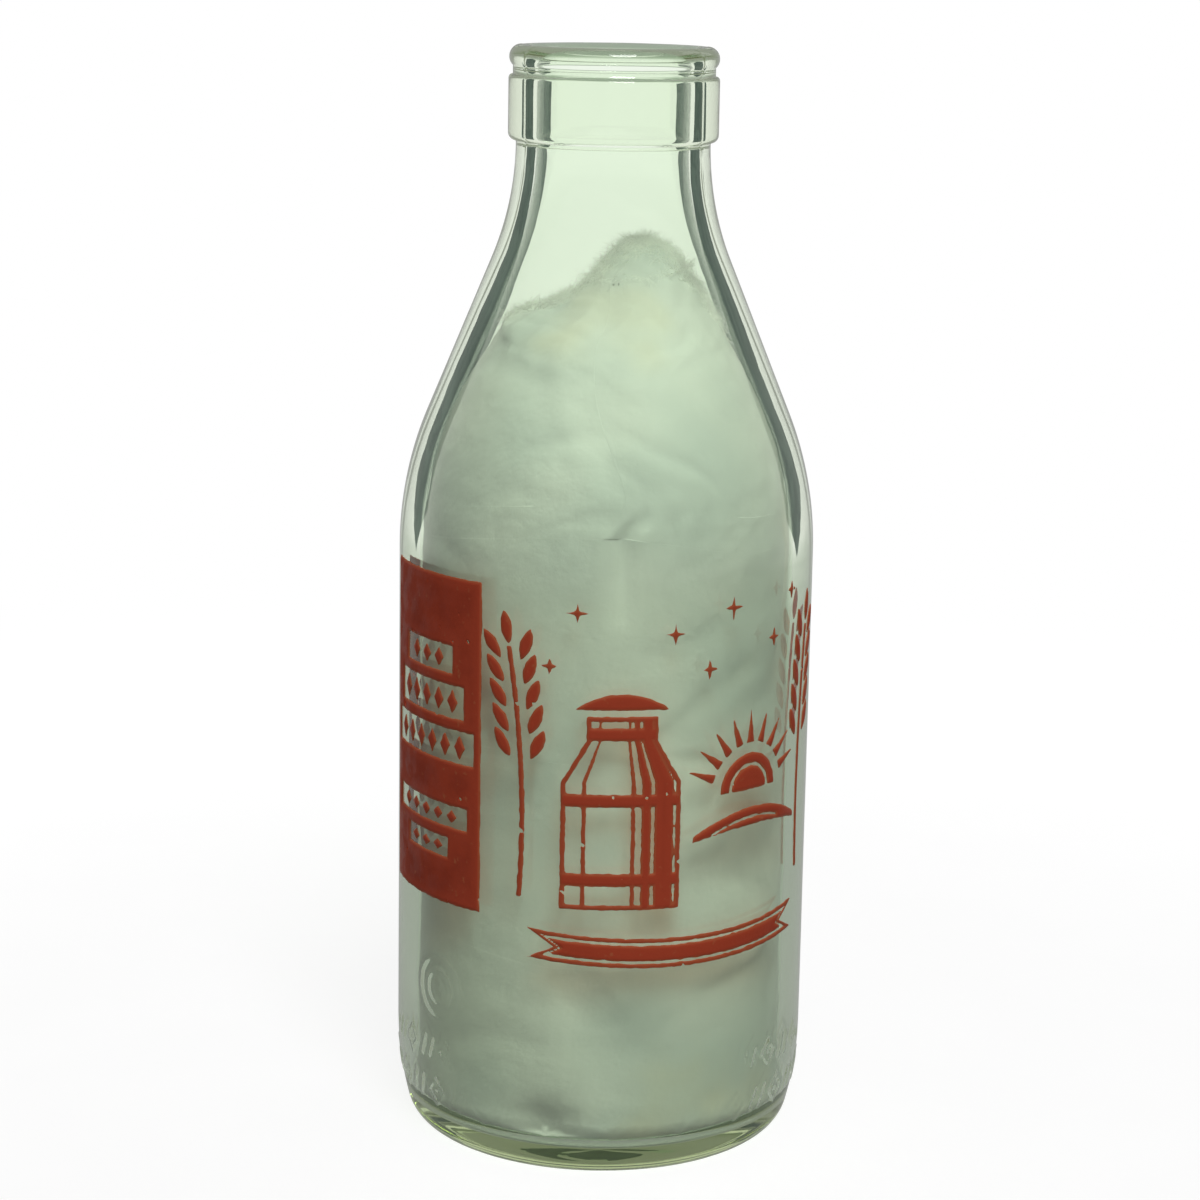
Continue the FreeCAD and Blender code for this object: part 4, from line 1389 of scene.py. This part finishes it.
def wheat_distance(hand):
    """A bowed stem with pairs of grains and one at its tip, on the right (1) or the left (-1)."""
    half = (WHEAT_TIP[0] - WHEAT_FOOT[0]) / 2
    rise = (WHEAT_TIP[1] - WHEAT_FOOT[1]) / 2
    centre_z = MIDDLE + (WHEAT_TIP[1] + WHEAT_FOOT[1]) / 2
    chord = math.hypot(half, rise)

    def stem_x(z):
        share = (z - centre_z) / rise
        return hand * (half * share - WHEAT_BOW * (1 - share ** 2))

    def distance(x, z):
        ends = np.abs(z - centre_z) - rise
        field = np.maximum(np.abs(x - stem_x(z)) - WHEAT_STEM_WIDTH / 2, ends)
        seat = (WHEAT_STEM_WIDTH + GRAIN_WIDTH) / 2 + GRAIN_GAP
        for index in range(GRAIN_PAIRS):
            knot = centre_z + rise - (index + 0.5) * GRAIN_PITCH * rise / chord
            lean = math.atan2(1, hand * (half + 2 * WHEAT_BOW * (knot - centre_z) / rise) / rise)
            for way in (-1, 1):
                foot = (stem_x(knot) + way * seat, knot)
                field = np.minimum(field, grain_distance(x, z, foot, lean - way * math.radians(GRAIN_SPREAD)))
        tip = centre_z + rise
        lean = math.atan2(1, hand * (half + 2 * WHEAT_BOW) / rise)
        return np.minimum(field, grain_distance(x, z, (stem_x(tip), tip + GRAIN_GAP), lean))

    return distance


def ribbon_distance(x, z):
    """A sagging ribbon with a notch in each end and a bare line along each edge."""
    circle = circle_through(RIBBON_HALF_WIDTH, RIBBON_SAG)
    middle = MIDDLE + RIBBON_MIDDLE - RIBBON_SAG
    drop = middle + circle - np.sqrt(circle ** 2 - np.clip(x, -40, 40) ** 2)
    rise = np.abs(z - drop)
    notch = RIBBON_HALF_WIDTH - RIBBON_NOTCH * (1 - rise / (RIBBON_HEIGHT / 2))
    band = np.maximum(rise - RIBBON_HEIGHT / 2, np.abs(x) - notch)
    pinstripe = np.abs(band + 1.05) - 0.24
    return np.maximum(band, -pinstripe)


def spark_distance(x, z):
    """Small four-pointed sparks: each quarter is folded over, then cut by a slanting line."""
    field = np.full(np.shape(x), 9.0)
    inner = SPARK_WAIST * math.sqrt(0.5)
    for right, rise in SPARKS:
        side = np.abs(x - right)
        high = np.abs(z - MIDDLE - rise)
        line = side_of(np.maximum(side, high), np.minimum(side, high), (SPARK_RADIUS, 0), (inner, inner))
        field = np.minimum(field, line)
    return field


def enamel_fields():
    """Every printed node: its signed distance, the corners of its region and how it wraps round the glass."""
    half_panel = PANEL_WIDTH / 2
    half_hill = (HILL_ENDS[1] - HILL_ENDS[0]) / 2
    wheat = (WHEAT_FOOT[0] + WHEAT_TIP[0]) / 2
    ray_tip = RAY_START + RAY_LENGTH
    picture_foot = MIDDLE - PICTURE_HEIGHT / 2
    panel = rolled(math.radians(PANEL_ANGLE))
    ears = (-9, MIDDLE + WHEAT_FOOT[1], 9, MIDDLE + WHEAT_TIP[1] + GRAIN_LENGTH + 1)
    return {
        "side_panel_enamel": (panel_distance, (-half_panel, FOOT, half_panel, TOP), panel),
        "window_lozenge_enamel": (lozenge_distance, (-half_panel, FOOT, half_panel, TOP), panel),
        "hill_enamel": (
            hill_distance,
            (-half_hill, MIDDLE + HILL_CREST - 2 * HILL_FALL, half_hill, MIDDLE + HILL_CREST),
            projected(sum(HILL_ENDS) / 2)),
        "rising_sun_enamel": (
            sun_distance,
            (-ray_tip, MIDDLE + SUN_CENTRE[1], ray_tip, MIDDLE + SUN_CENTRE[1] + ray_tip),
            projected(SUN_CENTRE[0])),
        "milk_churn_enamel": (
            churn_distance,
            (-CHURN_BODY_RADIUS, MIDDLE + CHURN_FOOT, CHURN_BODY_RADIUS, MIDDLE + CHURN_FOOT + 42),
            projected(CHURN_MIDDLE)),
        "left_wheat_enamel": (wheat_distance(-1), ears, projected(-wheat)),
        "right_wheat_enamel": (wheat_distance(1), ears, projected(wheat)),
        "ribbon_enamel": (
            ribbon_distance,
            (-RIBBON_HALF_WIDTH, picture_foot - 2, RIBBON_HALF_WIDTH, picture_foot + 10),
            projected(0)),
        "spark_enamel": (spark_distance, (-30, MIDDLE + 16, 30, MIDDLE + 36), rolled(PICTURE_ANGLE)),
    }


def eye_rays(tree):
    """Three masks for rays that come from the eye: straight, by way of glass, and mirrored in it.

    All are 0 for rays that light a matt surface.
    """
    path = add(tree, "ShaderNodeLightPath")
    early = worked(tree, "LESS_THAN", path.outputs["Diffuse Depth"], 0.5)
    through = worked(tree, "MULTIPLY", path.outputs["Is Transmission Ray"], early)
    glossy = worked(tree, "MULTIPLY", path.outputs["Is Glossy Ray"], early)
    mirrored = worked(tree, "SUBTRACT", glossy, through, use_clamp=True)
    return path.outputs["Is Camera Ray"], through, mirrored


def floor_material(stage):
    """White floor: white to the eye, with a soft shadow near the bottle, and duller through the glass, where
    the shadow round the bottle's foot is painted.
    """
    material, tree = new_material("white_floor")
    straight, through, mirrored = eye_rays(tree)
    seen = either(tree, either(tree, straight, through), mirrored)
    place = add(tree, "ShaderNodeTexCoord")
    away = add(tree, "ShaderNodeVectorMath", {0: place.outputs["Object"]}, operation="LENGTH")

    def ramp(ring, near, far):
        return stepped(tree, away.outputs["Value"], *ring, near, far)

    # Through the glass the floor is dimmer near the bottle, and a painted shadow darkens it further round the
    # bottle's foot
    dimmed_with_painted_shadow = worked(tree, "MULTIPLY", ramp(ROOM_RING, stage.beside, 1.0), ramp(PAINTED_FOOT_SHADOW_RING, 0.5, 1.0))
    bent = between_levels(tree, mirrored, dimmed_with_painted_shadow, stage.mirrored)
    level = between_levels(tree, straight, bent, ramp(SHADOW_RING, 1.27, 1.0))
    close = worked(tree, "MULTIPLY", through, ramp(ROOM_RING, 1.0, 0.0))
    green = blended(tree, close, (1, 1, 1, 1), (0.87, 1.0, 0.85, 1))
    light = add(tree, "ShaderNodeEmission", {"Color": green, "Strength": level})
    tint = blended(tree, mottle(tree, 30, 4.0), (0.80, 0.80, 0.80, 1), (0.82, 0.82, 0.82, 1))
    white = add(tree, "ShaderNodeBsdfDiffuse", {"Color": tint})
    shown = add(tree, "ShaderNodeMixShader", {
        0: ramp(SHADOW_RING, 0.65, 1.0), 1: white.outputs[0], 2: light.outputs[0]})
    matt = add(tree, "ShaderNodeBsdfDiffuse", {"Color": (0.3, 0.3, 0.3, 1)})
    glow = add(tree, "ShaderNodeEmission", {"Strength": ramp(UNDER_RING, stage.under, 0.0)})
    dull = add(tree, "ShaderNodeAddShader", {0: matt.outputs[0], 1: glow.outputs[0]})
    both = add(tree, "ShaderNodeMixShader", {0: seen, 1: dull.outputs[0], 2: shown.outputs[0]})
    add(tree, "ShaderNodeOutputMaterial", {"Surface": both.outputs[0]})
    return material


def flag_material(name, faces):
    """Flag cloth: dark and uneven to rays that came through a number of glass faces, and else clear."""
    material, tree = new_material(name)
    weave = blended(tree, mottle(tree, 40, 4.0), (0.04, 0.07, 0.06, 1), (0.08, 0.12, 0.105, 1))
    dark = add(tree, "ShaderNodeEmission", {"Color": weave, "Strength": 1.0})
    path = add(tree, "ShaderNodeLightPath")
    early = worked(tree, "LESS_THAN", path.outputs["Transmission Depth"], faces - 0.5)
    add(tree, "ShaderNodeOutputMaterial", {"Surface": let_through(tree, early, dark, (1, 1, 1))})
    return material


def white_world(stage):
    """White surroundings for the eye, by way of glass too, and plain levels for mirrors and lighting."""
    world = bpy.data.worlds.new("white_surroundings")
    bpy.context.scene.world = world
    world.use_nodes = True
    tree = world.node_tree
    tree.nodes.clear()
    straight, through, mirrored = eye_rays(tree)
    level = between_levels(tree, mirrored, stage.ambient, stage.mirrored)
    level = between_levels(tree, either(tree, straight, through), level, 1.0)
    light = add(tree, "ShaderNodeBackground", {"Color": (1, 1, 1, 1), "Strength": level})
    add(tree, "ShaderNodeOutputWorld", {"Surface": light.outputs[0]})


def lamp(name, place, power, width, plain=True):
    """A square soft lamp that looks at the middle of the bottle.

    One that isn't plain only brightens: it has no image, in the glass or to the eye, and throws no shadow.
    """
    data = bpy.data.lights.new(name, "AREA")
    data.energy = power
    data.size = width
    data.use_shadow = plain
    light = bpy.data.objects.new(name, data)
    bpy.context.scene.collection.objects.link(light)
    target = np.array((0, 0, HEIGHT / 2))
    back = np.array(place) - target
    back /= np.linalg.norm(back)
    right = np.cross((0, 0, 1), back)
    right /= np.linalg.norm(right)
    light.matrix_world = placed(right, np.cross(back, right), back, place)
    light.visible_transmission = False
    light.visible_glossy = plain
    light.visible_camera = plain
    return light


def placed(right, up, back, place):
    """A matrix from three axes and a place."""
    matrix = Matrix.Identity(4)
    for column, values in enumerate((right, up, back, place)):
        for row in range(3):
            matrix[row][column] = values[row]
    return matrix


class BOTTLE_OT_stage(bpy.types.Operator):
    """Sets up the white floor and surroundings, the dark flags, the lamps and the camera"""
    bl_idname = "bottle.stage"
    bl_label = "Stage"

    def execute(self, context):
        stage = context.scene.bottle_stage
        across = FLOOR_REACH * np.array([(-1, -1, 0), (1, -1, 0), (1, 1, 0), (-1, 1, 0)])
        mesh = mesh_from("floor", across, [np.array([[0, 1, 2, 3]])])
        linked("floor", mesh, floor_material(stage))
        near = flag_material("near_flag_cloth", 3)
        wide = flag_material("wide_flag_cloth", 1)
        for side, hand in (("left", -1), ("right", 1)):
            self.flag("near_flag_" + side, hand, stage.flag_start, stage.flag_away, stage, near)
            self.flag("wide_flag_" + side, hand, stage.flag_split, stage.flag_away - 5 * MM, stage, wide)
        white_world(stage)
        lamp("key_lamp", KEY_LAMP, stage.key, 0.9)
        lamp("fill_lamp", FILL_LAMP, stage.fill, 0.5)
        lamp("back_lamp", BACK_LAMP, stage.back, 0.9, False)
        self.camera(stage)
        context.scene.view_settings.view_transform = "Standard"
        return {"FINISHED"}

    def flag(self, name, hand, start, away, stage, cloth):
        """A dark flag behind the bottle on one hand, even about the diagonal and seen only through glass."""
        columns = 13
        turn = np.linspace(start, math.pi / 2 - start, columns)
        grid = np.arange(2 * columns).reshape(2, columns)
        points = np.zeros((2, columns, 3))
        points[..., 0] = hand * away * np.sin(turn)
        points[..., 1] = away * np.cos(turn)
        points[0, :, 2] = stage.flag_foot + stage.flag_taper * np.abs(turn - math.pi / 4)
        points[1, :, 2] = stage.flag_height
        faces = np.stack((grid[0, :-1], grid[0, 1:], grid[1, 1:], grid[1, :-1]), axis=-1)
        piece = linked(name, mesh_from(name, points.reshape(-1, 3), [faces]), cloth)
        piece.visible_camera = False
        piece.visible_diffuse = False
        piece.visible_glossy = False
        piece.visible_shadow = False

    def camera(self, stage):
        """The camera at the photograph's eye point and angle."""
        data = bpy.data.cameras.new("eye")
        data.lens = stage.lens
        data.sensor_width = 36
        eye = bpy.data.objects.new("eye", data)
        bpy.context.scene.collection.objects.link(eye)
        bpy.context.scene.camera = eye
        pitch, yaw, roll = stage.pitch, stage.yaw, stage.roll
        ahead = np.array((math.sin(yaw) * math.cos(pitch), math.cos(yaw) * math.cos(pitch), -math.sin(pitch)))
        right = np.array((math.cos(yaw), -math.sin(yaw), 0))
        up = np.cross(right, ahead)
        leaned_right = math.cos(roll) * right + math.sin(roll) * up
        leaned_up = math.cos(roll) * up - math.sin(roll) * right
        eye.matrix_world = placed(leaned_right, leaned_up, -ahead, (0, -stage.eye_back, stage.eye_height))


class BOTTLE_PT_build(bpy.types.Panel):
    """Lists the bottle's parts and their sizes"""
    bl_idname = "BOTTLE_PT_build"
    bl_label = "Milk bottle"
    bl_space_type = "VIEW_3D"
    bl_region_type = "UI"
    bl_category = "Bottle"

    def draw(self, context):
        for operator in OPERATORS:
            self.layout.operator(operator.bl_idname)
        for name, group in GROUPS.items():
            self.layout.label(text=group.__doc__)
            values = getattr(context.scene, name)
            for key in group.__annotations__:
                self.layout.prop(values, key)


GROUPS = {
    "bottle_glass": GlassSizes,
    "bottle_wadding": WaddingSizes,
    "bottle_enamel": EnamelSizes,
    "bottle_colours": FinishColours,
    "bottle_stage": StageSizes,
}
OPERATORS = (BOTTLE_OT_stage, BOTTLE_OT_glass, BOTTLE_OT_wadding, BOTTLE_OT_tuft, BOTTLE_OT_enamel)


def register():
    """Registers the property groups, operators and panel."""
    for name, group in GROUPS.items():
        bpy.utils.register_class(group)
        setattr(bpy.types.Scene, name, bpy.props.PointerProperty(type=group))
    for operator in OPERATORS:
        bpy.utils.register_class(operator)
    bpy.utils.register_class(BOTTLE_PT_build)


def unregister():
    """Takes the panel, operators and property groups away again."""
    bpy.utils.unregister_class(BOTTLE_PT_build)
    for operator in reversed(OPERATORS):
        bpy.utils.unregister_class(operator)
    for name, group in reversed(GROUPS.items()):
        delattr(bpy.types.Scene, name)
        bpy.utils.unregister_class(group)


def main():
    """Registers the add-on and builds everything in order."""
    register()
    bpy.ops.bottle.stage()
    bpy.ops.bottle.glass()
    bpy.ops.bottle.wadding()
    bpy.ops.bottle.tuft()
    bpy.ops.bottle.enamel()


if __name__ == "__main__":
    main()
